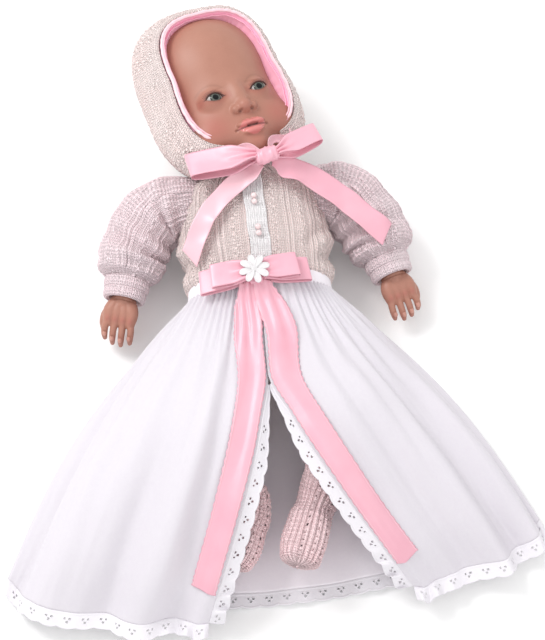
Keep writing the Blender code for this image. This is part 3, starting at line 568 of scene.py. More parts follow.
def paint_head(mesh):
    """Masks for the rosy skin, the brows and the lips, and painted shade at the lids, recesses and sides of the
    head.
    """
    count = len(mesh.vertices)
    flat = np.empty(count * 3)
    mesh.vertices.foreach_get("co", flat)
    p = (flat.reshape(-1, 3) - ORIGIN - NECK) @ HEAD
    x, y, z = np.abs(p[:, 0]), p[:, 1], p[:, 2]
    front = step(0.015, 0.035, z)
    cheek = np.exp(-(((x - 0.0290) / 0.0125) ** 2) - ((y - 0.0165) / 0.0125) ** 2)
    # Painted shade: where the head turns away from the front, its sides take the cheeks' darker red.
    edge = step(0.030, 0.012, z) * 0.65
    nose = np.exp(-((x / 0.0085) ** 2) - ((y - 0.0235) / 0.0060) ** 2) * 0.28
    chin = np.exp(-((x / 0.012) ** 2) - ((y + 0.007) / 0.008) ** 2) * 0.32
    muzzle = np.exp(-((x / 0.018) ** 2) - ((y - 0.008) / 0.010) ** 2) * 0.22
    paint(mesh, "blush_and_shade", front * (cheek * 0.60 + nose + chin + muzzle) + edge + 0.08)
    lid = np.zeros(count)
    brow = np.zeros(count)
    lash_line_and_shade = np.zeros(count)
    for side in (1, -1):
        inside, a, b = eye_opening(p, side)
        # Painted shade round each eye opening and along the lid crease.
        around = bell(np.maximum(-inside - 0.0004, 0), 0.0034) * (np.abs(a) < 1.7) * front
        fold = bell(b - 0.0066 + 0.0028 * a**2, 0.0011) * step(1.5, 0.7, np.abs(a)) * front
        lid = np.maximum(lid, np.maximum(around * 0.50, fold * 0.45))
        # The lid rims are painted dark: the lash line, and painted shade where the lid meets the eye.
        rim = bell(np.maximum(-inside, 0), 0.0006) * (np.abs(a) < 1.25) * front
        lash_line_and_shade = np.maximum(lash_line_and_shade, rim * np.where(b > -0.0002, 0.95, 0.30))
        arch = b - 0.0125 + 0.0026 * (a - 0.2) ** 2
        streak = 0.6 + 0.4 * np.sin(a * 55 + b * 4200)
        brow = np.maximum(brow, bell(arch, 0.0011) * step(1.9, 1.0, np.abs(a - 0.2)) * front * streak * 0.34)
    paint(mesh, "lid", lid)
    paint(mesh, "brow", brow)
    share = np.clip(1 - (x / 0.0130) ** 2, 0, 1)
    upper = MOUTH_Y + 0.0070 * share**1.35 - 0.0012 * bell(x, 0.0014)
    lower = MOUTH_Y - 0.0072 * np.clip(1 - (x / 0.0118) ** 2, 0, 1) ** 1.1
    lip = step(-0.0006, 0.0004, upper - y) * step(-0.0006, 0.0004, y - lower) * step(0.0133, 0.0122, x)
    paint(mesh, "lip", lip * front)
    # Painted shade in the line between the lips, the mouth's corners, the nostrils and beside the nose's wings.
    line = bell(y - MOUTH_Y, 0.00055) * step(0.0142, 0.0125, x) * 0.80
    gap = bell(y - MOUTH_Y - 0.0002, 0.0010) * step(0.0062, 0.0040, x)
    corner = np.exp(-(((x - 0.0132) / 0.0012) ** 2) - ((y - MOUTH_Y) / 0.0008) ** 2) * 0.35
    hole = np.exp(-(((x - 0.0052) / 0.0017) ** 2) - ((y - 0.0222) / 0.0010) ** 2) * 0.62
    wing = np.exp(-(((x - 0.0104) / 0.0010) ** 2) - ((y - 0.0236) / 0.0034) ** 2) * 0.14
    lash_line_and_shade = np.maximum(lash_line_and_shade, np.maximum.reduce([line, gap, corner, hole, wing]) * front)
    paint(mesh, "lash_line_and_shade", lash_line_and_shade)


def make_head():
    columns, rows = 330, 280
    u = np.linspace(-1, 1, columns, endpoint=False) + 1 / columns
    v = np.linspace(-1, 1, rows)
    turn = np.pi * (0.34 * u + 0.66 * u**3)
    tilt = math.radians(-14) + v * 0.42
    tilt = tilt + np.where(v > 0, np.pi / 2 - tilt[-1], np.pi / 2 + tilt[0]) * np.sign(v) * np.abs(v) ** 3
    tilt = tilt[:, None]
    ways = np.stack([np.cos(tilt) * np.sin(turn), np.sin(tilt) + 0 * turn, np.cos(tilt) * np.cos(turn)], -1)
    ways[0, :, 0] *= 0.01
    p = head_surface(ways[1:-1])
    high, low = step(0.055, 0.105, p[..., 1]), bell(p[..., 1] - 0.020, 0.020)
    off_centre = step(0.020, 0.042, np.abs(p[..., 0]))
    p[..., 0] *= 1 + 0.07 * high + 0.13 * low * off_centre
    p[..., 1] += 0.0065 * high
    p[..., 2] *= 1 + 0.06 * high
    cut = np.zeros(p.shape[:2], bool)
    for side in (1, -1):
        cut |= eye_opening(p, side)[0] > 0
    faces, uv = grid_parts(p, closed=True)
    flat = p.reshape(-1, 3)
    inside = cut.reshape(-1)
    kept = ~inside[faces].all(1)
    faces, uv = faces[kept], uv.reshape(-1, 4, 2)[kept].reshape(-1, 2)
    edge = np.intersect1d(np.where(inside)[0], faces.ravel())
    for side in (1, -1):
        mine = edge[flat[edge, 0] * side > 0]
        a0 = flat[mine, 0] - EYE[0] * side
        b0 = flat[mine, 1] - EYE[1]
        low, high = np.ones(len(mine)), np.full(len(mine), 40.0)
        for _ in range(40):
            mid = (low + high) / 2
            trial = np.stack([EYE[0] * side + a0 * mid, EYE[1] + b0 * mid, flat[mine, 2]], -1)
            still = eye_opening(trial, side)[0] > 0
            low, high = np.where(still, mid, low), np.where(still, high, mid)
        flat[mine, 0] = EYE[0] * side + a0 * high
        flat[mine, 1] = EYE[1] + b0 * high
        flat[mine] = head_surface(unit(flat[mine] - HEAD_MIDDLE))
    span = columns
    faces = faces.tolist() + [list(range(span))[::-1], list(range((rows - 3) * span, (rows - 2) * span))]
    uv = np.concatenate([uv, np.zeros((2 * span, 2))])
    head = add_mesh("porcelain_head", in_head(flat), faces, SKIN, uv)
    bm = bmesh.new()
    bm.from_mesh(head.data)
    loose = [v for v in bm.verts if not v.link_faces]
    bmesh.ops.delete(bm, geom=loose, context="VERTS")
    bmesh.ops.recalc_face_normals(bm, faces=bm.faces)
    rim = [e for e in bm.edges if e.is_boundary]
    for reach in (EYE_RADIUS + 0.0005, EYE_RADIUS - 0.0003):
        made = bmesh.ops.extrude_edge_only(bm, edges=rim)["geom"]
        rim = [e for e in made if isinstance(e, bmesh.types.BMEdge) and e.is_boundary]
        for vert in [g for g in made if isinstance(g, bmesh.types.BMVert)]:
            side = 1 if (np.array(vert.co) - ORIGIN - NECK) @ HEAD[:, 0] > 0 else -1
            centre = in_head(EYE * (side, 1, 1)) + ORIGIN
            vert.co = Vector(centre + unit(np.array(vert.co) - centre) * reach)
    bm.to_mesh(head.data)
    bm.free()
    head.data.shade_smooth()
    paint_head(head.data)
    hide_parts("head_shell")
    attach(head, "head")


def eye_material():
    n = Nodes("glass_eye_paint", (0.7, 0.68, 0.64), 0.05)
    n.set("Specular IOR Level", 0.22)
    u, v = n.uv()
    ramp = n.add("ShaderNodeValToRGB", {0: v})[0].node.color_ramp
    stops = [(0.0, (0.004, 0.005, 0.006)), (0.240, (0.004, 0.005, 0.006)), (0.262, (0.045, 0.060, 0.055)),
             (0.34, (0.085, 0.090, 0.078)), (0.43, (0.040, 0.044, 0.040)), (0.480, (0.008, 0.012, 0.012)),
             (0.530, (0.26, 0.23, 0.22)), (0.62, (0.42, 0.37, 0.35)), (1.0, (0.50, 0.36, 0.33))]
    while len(ramp.elements) < len(stops):
        ramp.elements.new(0.5)
    for element, (place, colour) in zip(ramp.elements, stops):
        element.position = place
        element.color = (*colour, 1)
    painted = n.tree.nodes["Color Ramp"].outputs[0]
    turned, outward = n.math("MULTIPLY", u, 60.0), n.math("MULTIPLY", v, 6.0)
    spokes = n.add("ShaderNodeCombineXYZ", {0: turned, 1: outward})[0]
    rays = n.noise(1.0, 3.0, spokes)
    iris = n.math("MULTIPLY", n.math("GREATER_THAN", v, 0.262), n.math("LESS_THAN", v, 0.46))
    streaks = n.math("MULTIPLY", iris, n.math("SUBTRACT", rays, 0.38))
    lit = n.mix(n.math("MULTIPLY", streaks, 1.6), painted, (0.26, 0.27, 0.23, 1))
    n.link(lit, "Base Color")
    return n.material


EYE_PAINT = eye_material()
GAZE = unit((0.030, 0.010, 1.0))


def make_eye(side):
    """A glass eye with a slightly raised cornea."""
    sign = SIDES[side]
    count = 64
    polar = np.concatenate([np.linspace(0.02, 0.55, 30), np.linspace(0.58, math.pi - 0.05, 26)])
    radius = EYE_RADIUS - 0.0001 + 0.0004 * bell(polar, 0.42)
    first = unit(np.cross(Y_AXIS, GAZE))
    second = np.cross(GAZE, first)
    angle = 2 * np.pi * np.arange(count) / count
    ring = first * np.cos(angle)[:, None] + second * np.sin(angle)[:, None]
    ways = GAZE * np.cos(polar)[:, None, None] + ring[None] * np.sin(polar)[:, None, None]
    p = EYE * (sign, 1, 1) + ways * radius[:, None, None]
    faces, _ = grid_parts(p, closed=True)
    row, column = faces[:, 0] // count, faces[:, 0] % count
    corners = [(column, row), (column + 1, row), (column + 1, row + 1), (column, row + 1)]
    last = len(polar) - 1
    uv = [np.stack([c / count, polar[np.minimum(r, last)]], -1) for c, r in corners]
    uv = np.stack(uv, 1).reshape(-1, 2)
    ends = [list(range(count))[::-1], list(range((len(polar) - 1) * count, len(polar) * count))]
    uv = np.concatenate([uv, np.zeros((count, 2)), np.ones((count, 2))])
    eye = add_mesh(f"glass_eye_{side}", in_head(p.reshape(-1, 3)), faces.tolist() + ends, EYE_PAINT, uv)
    turn_outward(eye)
    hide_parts(f"eye_{side}")
    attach(eye, "head")


LASH = plain_cloth("lash_hair", (0.030, 0.016, 0.012))


def make_lashes(side):
    """Short lashes along the upper lid, and a few shorter ones below."""
    sign = SIDES[side]
    verts, faces = [], []
    for k, a in enumerate(np.concatenate([np.linspace(-0.80, 0.97, 34), np.linspace(-0.3, 0.9, 16)])):
        upper = k < 34
        edge = LID_UP * (1 - a * a) ** 0.72 if upper else -LID_DOWN * (1 - a * a) ** 0.95
        root = np.array((EYE[0] * sign + a * EYE_HALF_LENGTH * sign, EYE[1] + edge + 0.0004 * a, 0.045))
        out = unit(root - EYE * (sign, 1, 1))
        across = a * EYE_HALF_LENGTH
        root[2] = EYE[2] + math.sqrt(max((EYE_RADIUS + 0.0007) ** 2 - across**2 - edge**2, 1e-8))
        long = (0.0017 + 0.0011 * max(a, 0)) if upper else 0.0009
        fan = np.array(((a * 0.55 + 0.05 * math.sin(9 * k)) * sign, 0.9 if upper else -0.8, 0.0))
        ends = [root, root + (out * 0.9 + fan * 0.25) * long * 0.5, root + (out * 0.55 + fan) * long]
        widths = (0.00013, 0.00010, 0.00003) if upper else (0.00008, 0.00006, 0.00002)
        ring = tube_points(np.array(ends), widths, 4).reshape(-1, 3)
        base = len(verts) * 1
        verts.extend(ring)
        for i in range(2):
            for j in range(4):
                m = (j + 1) % 4
                faces.append((base + i * 4 + j, base + i * 4 + m, base + i * 4 + 4 + m, base + i * 4 + 4 + j))
        faces += [(base + 3, base + 2, base + 1, base), (base + 8, base + 9, base + 10, base + 11)]
    lashes = add_mesh(f"lashes_{side}", in_head(np.array(verts)), faces, LASH)
    turn_outward(lashes)
    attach(lashes, "head")


# ---- neck and bonnet ----


def squared(v):
    return np.sign(v) * np.abs(v) ** (2 / 3)


def cup(inset, rows, columns, start, rim):
    """A grid of the bonnet's cup, from its closed back to its rim."""
    half = BONNET_HALF - inset
    stop = math.asin((rim - BONNET_CENTRE[2]) / half[2])
    angle = np.linspace(start, stop, rows)[:, None]
    turn = 2 * np.pi * (np.arange(columns) + 0.5)[None] / columns
    x = half[0] * np.cos(angle) * squared(np.sin(turn))
    y = half[1] * np.cos(angle) * squared(np.cos(turn))
    z = half[2] * np.sin(angle) + 0 * turn
    return BONNET_CENTRE + np.stack([x, y, z], -1), angle, turn


def flaps(p):
    """Draw the front of the cup down over the cheeks."""
    low = np.clip((BONNET_CENTRE[1] - p[..., 1]) / BONNET_HALF[1], 0, 1)
    front = step(-0.030, 0.034, p[..., 2])
    p = p.copy()
    p[..., 1] -= 0.0170 * low**2 * front
    p[..., 0] *= 1 + (0.20 * low + 0.10 * low**2) * front
    return p


def neck_hole(p):
    """How deep points lie inside the opening that the neck leaves by."""
    wide = 0.040 - 0.011 * step(0.0, 0.036, p[..., 2])
    depth = np.sqrt((p[..., 0] / wide) ** 2 + ((p[..., 2] - 0.010) / 0.052) ** 2) - 1
    return np.maximum(depth, (p[..., 1] - 0.022) / 0.03)


def cut_hole(obj, depth):
    """Take away the faces inside the neck's opening, and even out the edge that is left."""
    bm = bmesh.new()
    bm.from_mesh(obj.data)
    bm.verts.ensure_lookup_table()
    gone = [f for f in bm.faces if all(depth[v.index] < 0 for v in f.verts)]
    bmesh.ops.delete(bm, geom=gone, context="FACES")
    edge = [v for v in bm.verts if v.is_boundary]
    for _ in range(6):
        bmesh.ops.smooth_vert(bm, verts=edge, factor=0.4, use_axis_x=True, use_axis_y=True, use_axis_z=True)
    bm.to_mesh(obj.data)
    bm.free()


def rim_line(sweep, shift, height):
    """Points round the front opening, from one side of the chin over the crown to the other."""
    depth = (BONNET_RIM - BONNET_CENTRE[2]) / BONNET_HALF[2]
    shrink = math.sqrt(1 - depth**2)
    x = BONNET_CENTRE[0] + (BONNET_HALF[0] * shrink - shift) * squared(np.sin(sweep))
    y = BONNET_CENTRE[1] - (BONNET_HALF[1] * shrink - shift) * squared(np.cos(sweep))
    return flaps(np.stack(np.broadcast_arrays(x, y, height), -1))


def make_bonnet():
    columns, rows = 300, 120
    p, angle, turn = cup(0.0, rows, columns, math.radians(-88), BONNET_RIM)
    p = flaps(p)
    normal = grid_normals(p, closed=True)
    normal *= np.sign((normal * (p - BONNET_CENTRE)).sum(-1, keepdims=True))
    along = angle * 60
    cable = np.cos(turn * 18)
    rope = bell(cable - 1, 0.55) * (0.55 + 0.45 * np.sin(along * 2.6 + np.sign(np.sin(turn * 18)) * 1.2))
    moss = np.sin(turn * 60) * np.sin(angle * 60) * (1 - bell(cable - 1, 0.8))
    band = step(0.030, 0.034, p[..., 2])
    relief = 0.0006 * rope + 0.00095 * moss + 0.0005 * np.sin(angle * 42)
    lift = relief * (1 - band) + band * 0.0009 * np.abs(np.sin(angle * 190))
    crown = 0.0006 * ripple(turn * 2.2, angle * 2.5, 3)
    p = p + normal * (lift + crown)[..., None]
    depth = neck_hole(p).reshape(-1)
    shell = add_grid("bonnet_knit", in_head(p), KNIT, closed=True, caps=False)
    cut_hole(shell, depth)
    thicken(shell, 0.0022)
    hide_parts("bonnet_shell")
    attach(shell, "head")
    q, angle, turn = cup(0.0036, 70, 200, math.radians(-88), BONNET_RIM + 0.0005)
    q = flaps(q)
    normal = grid_normals(q, closed=True)
    normal *= np.sign((normal * (q - BONNET_CENTRE)).sum(-1, keepdims=True))
    gather = step(0.0, 0.035, q[..., 2]) * np.abs(np.sin(turn * 12 + 1.5 * np.sin(turn * 5)))
    q = q - normal * (0.0007 * gather + 0.0008 * (1 + ripple(turn * 5, angle * 5, 8)) / 2)[..., None]
    depth = neck_hole(q).reshape(-1)
    lining = add_grid("bonnet_satin_lining", in_head(q), LINING, closed=True)
    cut_hole(lining, depth)
    thicken(lining, 0.0007)
    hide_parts("bonnet_lining")
    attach(lining, "head")
    sweep = np.radians(22) + np.radians(316) * np.linspace(0, 1, 260)
    reach = np.linspace(0, 1, 16)[:, None]
    pucker = 0.0004 * np.sin(sweep * 37 + 2 * np.sin(sweep * 5)) * reach
    facing = rim_line(sweep, 0.0012 + 0.0070 * reach**0.8 + pucker, BONNET_RIM + 0.0008 - 0.0135 * reach)
    band = add_grid("bonnet_lining_facing", in_head(facing), LINING)
    thicken(band, 0.0006)
    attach(band, "head")
    for name, shift, front, radius, material in (
        ("bonnet_rim_binding", 0.0016, 0.0012, 0.0014, RIM_SATIN),
        ("bonnet_rim_piping", 0.0029, 0.0022, 0.0007, PALE_SATIN),
    ):
        count = 240
        opening = math.radians(32)
        sweep = opening + (2 * np.pi - 2 * opening) * np.linspace(0, 1, count)
        path = rim_line(sweep, shift, BONNET_RIM + front + 0.0003 * np.sin(sweep * 31))
        radii = radius * (1 + 0.08 * np.sin(sweep * 45))
        ends = np.minimum(np.arange(count), np.arange(count)[::-1]) / 3
        radii = radii * np.sqrt(np.clip(ends + 0.05, 0, 1))
        points = tube_points(path, radii, 14)
        rim = add_grid(name, in_head(points), material, closed=True, caps=True)
        if radius > 0.001:
            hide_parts("bonnet_trim")
        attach(rim, "head")


def ring_piece(name, centre, axis, up, inner, outer, length, material, ribs, swell=0.0):
    """A soft ring with a rounded section, ribbed along its axis."""
    axis = unit(axis)
    across = unit(np.cross(up, axis))
    rise = np.cross(axis, across)
    count = max(ribs * 6, 60)
    angle = 2 * np.pi * np.arange(count) / count
    section = 2 * np.pi * np.arange(28) / 28
    mid, half = (inner + outer) / 2, (outer - inner) / 2
    box = lambda v: np.sign(v) * np.abs(v) ** 0.75
    radial = mid + half * box(np.cos(section))[:, None] * (1 + swell * np.cos(angle * ribs)[None])
    along = length / 2 * box(np.sin(section))
    ring = across * np.sin(angle)[:, None] + rise * np.cos(angle)[:, None]
    p = centre + ring[None] * radial[..., None] + axis * along[:, None, None]
    p = np.concatenate([p, p[:1]])
    faces, uv = grid_parts(p, closed=True)
    faces = np.where(faces >= 28 * count, faces - 28 * count, faces)
    obj = add_mesh(name, p[:-1].reshape(-1, 3), faces.tolist(), material, uv)
    turn_outward(obj)
    return obj


def make_neck():
    up = HEAD[:, 1]
    centre = in_head((0, -0.0135, 0))
    casing = ring_piece("neck_calico", centre, up, HEAD[:, 2], 0.0172, 0.0204, 0.0095, CALICO, 30, 0.22)
    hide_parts("neck_casing")
    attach(casing, "neck")
    tie = ring_piece("neck_cord", centre, up, HEAD[:, 2], 0.0206, 0.0222, 0.0022, CORD, 40, 0.15)
    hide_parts("neck_tie")
    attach(tie, "neck")


# ---- ribbons ----


def ribbon(name, path, across, width, material, thickness=0.0005, columns=15, cup_depth=0.0,
           cut=0.0, picot=0.0, wobble=0.0):
    """A ribbon along a path. The far end may be cut on a slant, and the edges may have picots."""
    path = np.asarray(path, float)
    across = unit(np.broadcast_to(across, path.shape))
    normal = unit(np.cross(np.gradient(path, axis=0), across))
    t = np.linspace(-1, 1, columns)
    rows = len(path)
    s = np.linspace(0, 1, rows)
    length = np.linalg.norm(np.diff(path, axis=0), axis=1).sum()
    half = np.broadcast_to(np.asarray(width, float), rows) / 2
    reach = half[:, None] * t[None]
    if picot:
        teeth = np.sin(s * length / 0.0011 * 2 * np.pi)[:, None] * picot
        reach = reach + np.sign(t)[None] * (np.abs(t)[None] > 0.99) * teeth
    p = path[:, None] + across[:, None] * reach[..., None]
    bend = cup_depth * (1 - t**2)[None] + wobble * ripple(s * 9, 2.0, 5)[:, None] * t[None]
    p = p + normal[:, None] * np.broadcast_to(bend, (rows, columns))[..., None]
    if cut:
        last = int(rows * 0.88)
        way = unit(path[-1] - path[last])
        share = step(last, rows - 1, np.arange(rows))[:, None] * (t[None] * 0.5)
        p = p + way * (share * cut)[..., None]
    obj = add_grid(name, p, material)
    return thicken(obj, thickness)


def bow_loop(name, start, tip, width, rise, material, fold=0.0, twist=0.0, pinch=0.35):
    """One loop of a bow: out along the surface, folded over, and back to the knot."""
    start, tip = np.asarray(start, float), np.asarray(tip, float)
    along = unit(tip - start)
    length = np.linalg.norm(tip - start)
    across = unit(np.cross(along, Z_AXIS))
    lift = np.cross(across, along)
    angle = np.linspace(0.24, 2 * np.pi - 0.24, 90)
    out = (1 - np.cos(angle)) / 2
    flat = np.sign(np.sin(angle)) * np.abs(np.sin(angle)) ** 0.55
    path = start + along * (length * out)[:, None] + lift * (rise * flat)[:, None]
    widths = width * (pinch + (1 - pinch) * step(0.0, 0.42, out))
    t = np.linspace(-1, 1, 19)
    p = path[:, None] + across[None, None] * (widths[:, None] * t[None] / 2)[..., None]
    top = flat[:, None] > 0
    crease = np.cos(t * 7.5)[None] * (1 - step(0.05, 0.55, out))[:, None] * 0.0016
    sag = -0.0014 * (out * (1 - out) * 4)[:, None] * (1 - 0.5 * t**2)[None] * np.where(top, 1, -0.4)
    p = p + lift * (crease + sag + twist * t[None] * out[:, None])[..., None]
    p = p + along * (fold * t[None] * step(0.6, 1.0, out)[:, None])[..., None]
    obj = add_grid(name, p, material)
    return thicken(obj, 0.0005)


def knot(name, centre, half, material, axis_turn=0.0):
    """A knot: a short wrapped band with creases."""
    rows, columns = 40, 64
    tilt = np.linspace(-np.pi / 2 + 0.02, np.pi / 2 - 0.02, rows)[:, None]
    turn = 2 * np.pi * np.arange(columns)[None] / columns
    x = np.sign(np.sin(tilt)) * np.abs(np.sin(tilt)) ** 0.7
    ring = np.abs(np.cos(tilt)) ** 0.45
    crease = 1 + 0.07 * np.sin(turn * 3 + x * 6) + 0.05 * np.sin(x * 17 + turn)
    y = ring * np.cos(turn) * crease
    z = ring * np.sin(turn) * crease
    p = np.stack([x + 0 * turn, y, z], -1) * half
    c, s = math.cos(axis_turn), math.sin(axis_turn)
    spun = np.stack([p[..., 0] * c - p[..., 1] * s, p[..., 0] * s + p[..., 1] * c, p[..., 2]], -1)
    return add_grid(name, spun + np.asarray(centre), material, closed=True, caps=True)


def make_chin_bow():
    centre = np.array((0.0145, 0.0985, 0.1065))
    tied = knot("chin_bow_tied_knot", centre, (0.0098, 0.0066, 0.0050), SATIN, 0.30)
    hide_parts("chin_bow_knot")
    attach(tied, "head")
    loops = {
        "left": ((0.0575, 0.1185, 0.0985), 0.0180, 0.0060),
        "right": ((-0.0485, 0.0975, 0.0985), 0.0215, 0.0065),
    }
    for side, sign in SIDES.items():
        tip, width, rise = loops[side]
        start = centre + (0.0070 * sign, 0.0005, 0)
        loop = bow_loop(f"chin_bow_satin_loop_{side}", start, tip, width, rise, SATIN,
                        fold=-0.0020 * sign, twist=0.0016 * sign)
        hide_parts(f"chin_bow_loop_{side}")
        low = unit(np.array(tip) - start)
        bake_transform(loop)
    tails = {
        "left": [(0.0190, 0.0955, 0.1005), (0.0300, 0.0920, 0.0950), (0.046, 0.087, 0.0895),
                 (0.072, 0.070, 0.0800), (0.092, 0.053, 0.0675), (0.1065, 0.0405, 0.0590)],
        "right": [(0.0100, 0.0940, 0.1010), (0.0000, 0.0885, 0.0965), (-0.018, 0.077, 0.0940),
                  (-0.035, 0.060, 0.0935), (-0.045, 0.044, 0.0870), (-0.0535, 0.027, 0.0785)],
    }
    for side, sign in SIDES.items():
        path = curve(tails[side], 90)
        s = np.linspace(0, 1, 90)
        path[:, 2] += 0.0013 * np.sin(s * 9) * step(0.1, 0.3, s) + 0.0012 * bell(s - 0.35, 0.22)
        if side == "left":
            path[:, 2] += 0.0036 * step(0.60, 0.95, s)
        across = unit(np.cross(np.gradient(path, axis=0), Z_AXIS))
        width = RIBBON_WIDTH * (0.40 + 0.60 * step(0.0, 0.20, s)) * (1.0 if side == "left" else 0.80)
        satin = SATIN if side == "left" else PALE_SATIN
        tail = ribbon(f"chin_bow_satin_tail_{side}", path, across, width, satin,
                      cup_depth=0.0010, cut=0.005 if side == "left" else -0.009, wobble=0.0018)
        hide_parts(f"chin_bow_tail_{side}")
        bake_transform(tail)
        low = HEAD.T @ (centre - NECK)
        tie_path = in_head(curve([(0.0340 * sign, -0.0010, 0.0385), (0.0290 * sign, -0.0085, 0.0415),
                                  (low[0] + 0.0120 * sign, low[1] + 0.0130, low[2] - 0.0040),
                                  (low[0] + 0.0050 * sign, low[1] + 0.0030, low[2] - 0.0010)], 40))
        way = unit(np.cross(np.gradient(tie_path, axis=0), HEAD @ unit((0.5 * sign, -0.35, 0.80))))
        tie = ribbon(f"chin_tie_satin_{side}", tie_path, way, 0.0065, PALE_SATIN, cup_depth=0.0008)
        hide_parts(f"chin_tie_{side}")
        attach(tie, "head")


# ---- bodice, sleeves and waist ----

BODICE_SECTIONS = [
    (0.1010, 0.52, 0.70, 0.0595), (0.0985, 0.75, 0.80, 0.0530), (0.0935, 0.90, 0.90, 0.0480),
    (0.0850, 0.98, 0.97, 0.0450), (0.0600, 1.00, 1.00, 0.0445), (0.0350, 0.99, 1.00, 0.0445),
    (WAIST_Y, 0.97, 0.99, 0.0445),
]


def bodice_section(y):
    """Half-width, half-depth and height of the chest at places along it."""
    known = np.array(BODICE_SECTIONS)[::-1]
    wide, deep, height = (np.interp(y, known[:, 0], known[:, k]) for k in (1, 2, 3))
    return CHEST[0] * wide, CHEST[1] * deep, height


def bodice_top(x, y, lift):
    wide, deep, height = bodice_section(y)
    z = height + deep * np.sqrt(np.clip(1 - (x / wide) ** 2, 0, 1)) + lift
    return np.stack([np.broadcast_to(x, z.shape), np.broadcast_to(y, z.shape), z], -1)


def cable_relief(x, v):
    """Ribs, a rope cable and lines of holes along a knitted panel, x across and v along it."""
    ribs = 0.00050 * np.cos(2 * np.pi * x / 0.0042)
    place = np.mod(x + 0.0105, 0.0210) - 0.0105
    rope = bell(place, 0.0026) * (0.5 + 0.5 * np.sin(v / 0.0011 + np.sign(place) * 1.3))
    gutter = bell(np.abs(place) - 0.0046, 0.0007)
    return ribs * (1 - bell(place, 0.004)) + 0.00130 * rope - 0.00075 * gutter


def make_bodice():
    rows, columns = 170, 380
    y = np.linspace(0.1010, WAIST_Y - 0.004, rows)[:, None]
    turn = 2 * np.pi * (np.arange(columns) + 0.5)[None] / columns
    known = curve(np.array(BODICE_SECTIONS)[::-1], 200)
    wide = np.interp(y, known[:, 0], known[:, 1]) * CHEST[0]
    deep = np.interp(y, known[:, 0], known[:, 2]) * CHEST[1]
    height = np.interp(y, known[:, 0], known[:, 3])
    wide = wide * (1 + 0.05 * bell(y - 0.044, 0.026))
    p = np.stack([wide * np.sin(turn), y + 0 * turn, height + deep * np.cos(turn)], -1)
    normal = grid_normals(p, closed=True)
    middle = np.stack([0 * wide, y, height], -1)
    normal *= np.sign((normal * (p - middle)).sum(-1, keepdims=True))
    girth = turn * 0.052
    front = np.minimum(turn, 2 * np.pi - turn) * 0.052
    relief = cable_relief(front - 0.014, y + 0 * girth)
    away = np.abs(np.abs(p[..., 0]) - 0.056)
    armpit = bell(away, 0.013) * step(0.062, 0.040, y) * step(0.010, 0.030, y)
    folds = armpit * 0.0030 * np.sin((y - 1.1 * np.abs(p[..., 0])) / 0.0042)
    slack = 0.0011 * ripple(girth * 60, y * 70, 2) * step(0.105, 0.085, y)
    blouse = 0.0016 * step(0.030, 0.016, y) * (1 - step(0.014, WAIST_Y, y))
    p = p + normal * (relief + folds + slack + blouse - 0.0006)[..., None]
    p[..., 2] = np.maximum(p[..., 2], 0.0024)
    side = np.abs(p[..., 0]) > 0.035
    hole = (((p[..., 1] - SHOULDER[1]) ** 2 + (p[..., 2] - SHOULDER[2]) ** 2) < 0.0172**2) & side
    depth = np.where(hole, -1.0, 1.0).reshape(-1)
    bodice = add_grid("bodice_knit", p, KNIT, closed=True)
    cut_hole(bodice, depth)
    thicken(bodice, 0.0018)
    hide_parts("bodice")
    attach(bodice, "torso")
    centre = np.array((0, 0.1030, 0.0595))
    neckband = ring_piece("neckband_rib", centre, Y_AXIS, Z_AXIS, 0.0258, 0.0300, 0.0046,
                          WHITE_KNIT, 60, 0.22)
    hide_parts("neckband")
    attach(neckband, "torso")


def make_placket():
    rows, columns = 220, 40
    y = np.linspace(0.0965, 0.0115, rows)[:, None]
    t = np.linspace(-1, 1, columns)[None]
    lean = 0.0005 + (0.0965 - y) * 0.035
    x = t * 0.0079 + lean + 0.00035 * np.sin(y * 240)
    p = bodice_top(x, y + 0 * t, 0.0014)
    diamonds = np.sin((y + x) / 0.0017 * np.pi) * np.sin((y - x) / 0.0017 * np.pi)
    border = bell(np.abs(t) - 0.93, 0.07)
    p[..., 2] += 0.00030 * diamonds * (1 - border) + 0.0005 * border * (0.7 + 0.3 * np.sin(y / 0.00055))
    placket = add_grid("placket_moss_knit", p, WHITE_KNIT)
    thicken(placket, 0.0012)
    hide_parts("placket")
    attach(placket, "torso")
    n = Nodes("pearl_paint", (0.83, 0.66, 0.66), 0.14)
    n.set("Coat Weight", 0.6)
    n.link(n.mix(n.noise(330, 1.0, n.place()), (0.86, 0.76, 0.75, 1), (0.80, 0.56, 0.58, 1)), "Base Color")
    for number, y in enumerate((0.069, 0.041), start=1):
        for row, shift in (("upper", 0.0027), ("lower", -0.0027)):
            x = 0.0005 + (0.0965 - y) * 0.035
            centre = bodice_top(np.array(x), np.array(y + shift), 0.0014 + 0.0008 + 0.0022)
            tilt = np.linspace(0.05, np.pi - 0.05, 20)[:, None]
            turn = 2 * np.pi * np.arange(28)[None] / 28
            flat = np.sin(tilt)
            shape = np.stack([flat * np.cos(turn), flat * np.sin(turn), np.cos(tilt) + 0 * turn], -1)
            shape = shape * (1 - 0.18 * bell(tilt, 0.18))[..., None]
            name = f"pearl_bead_{number}_{row}"
            pearl = add_grid(name, centre + shape * 0.0024, n.material, closed=True, caps=True)
            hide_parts(f"pearl_{number}_{row}")
            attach(pearl, "torso")


def make_waistband():
    rows, columns = 40, 420
    y = np.linspace(WAIST_Y + 0.0010, -0.0012, rows)[:, None]
    turn = 2 * np.pi * (np.arange(columns) + 0.5)[None] / columns
    s = np.linspace(0, 1, rows)[:, None]
    swell = 0.0010 + 0.0005 * np.sin(s * np.pi) + 0.0007 * np.abs(np.sin(turn * 38)) * step(0.35, 1.0, s)
    wide, deep = CHEST[0] * 0.97 + swell, CHEST[1] * 0.99 + swell
    p = np.stack([wide * np.sin(turn), y + 0 * turn, CHEST[2] + deep * np.cos(turn)], -1)
    band = add_grid("waistband_gathers", p, BACK_BATISTE_LIT, closed=True)
    thicken(band, 0.0009)
    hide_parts("waistband")
    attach(band, "torso")


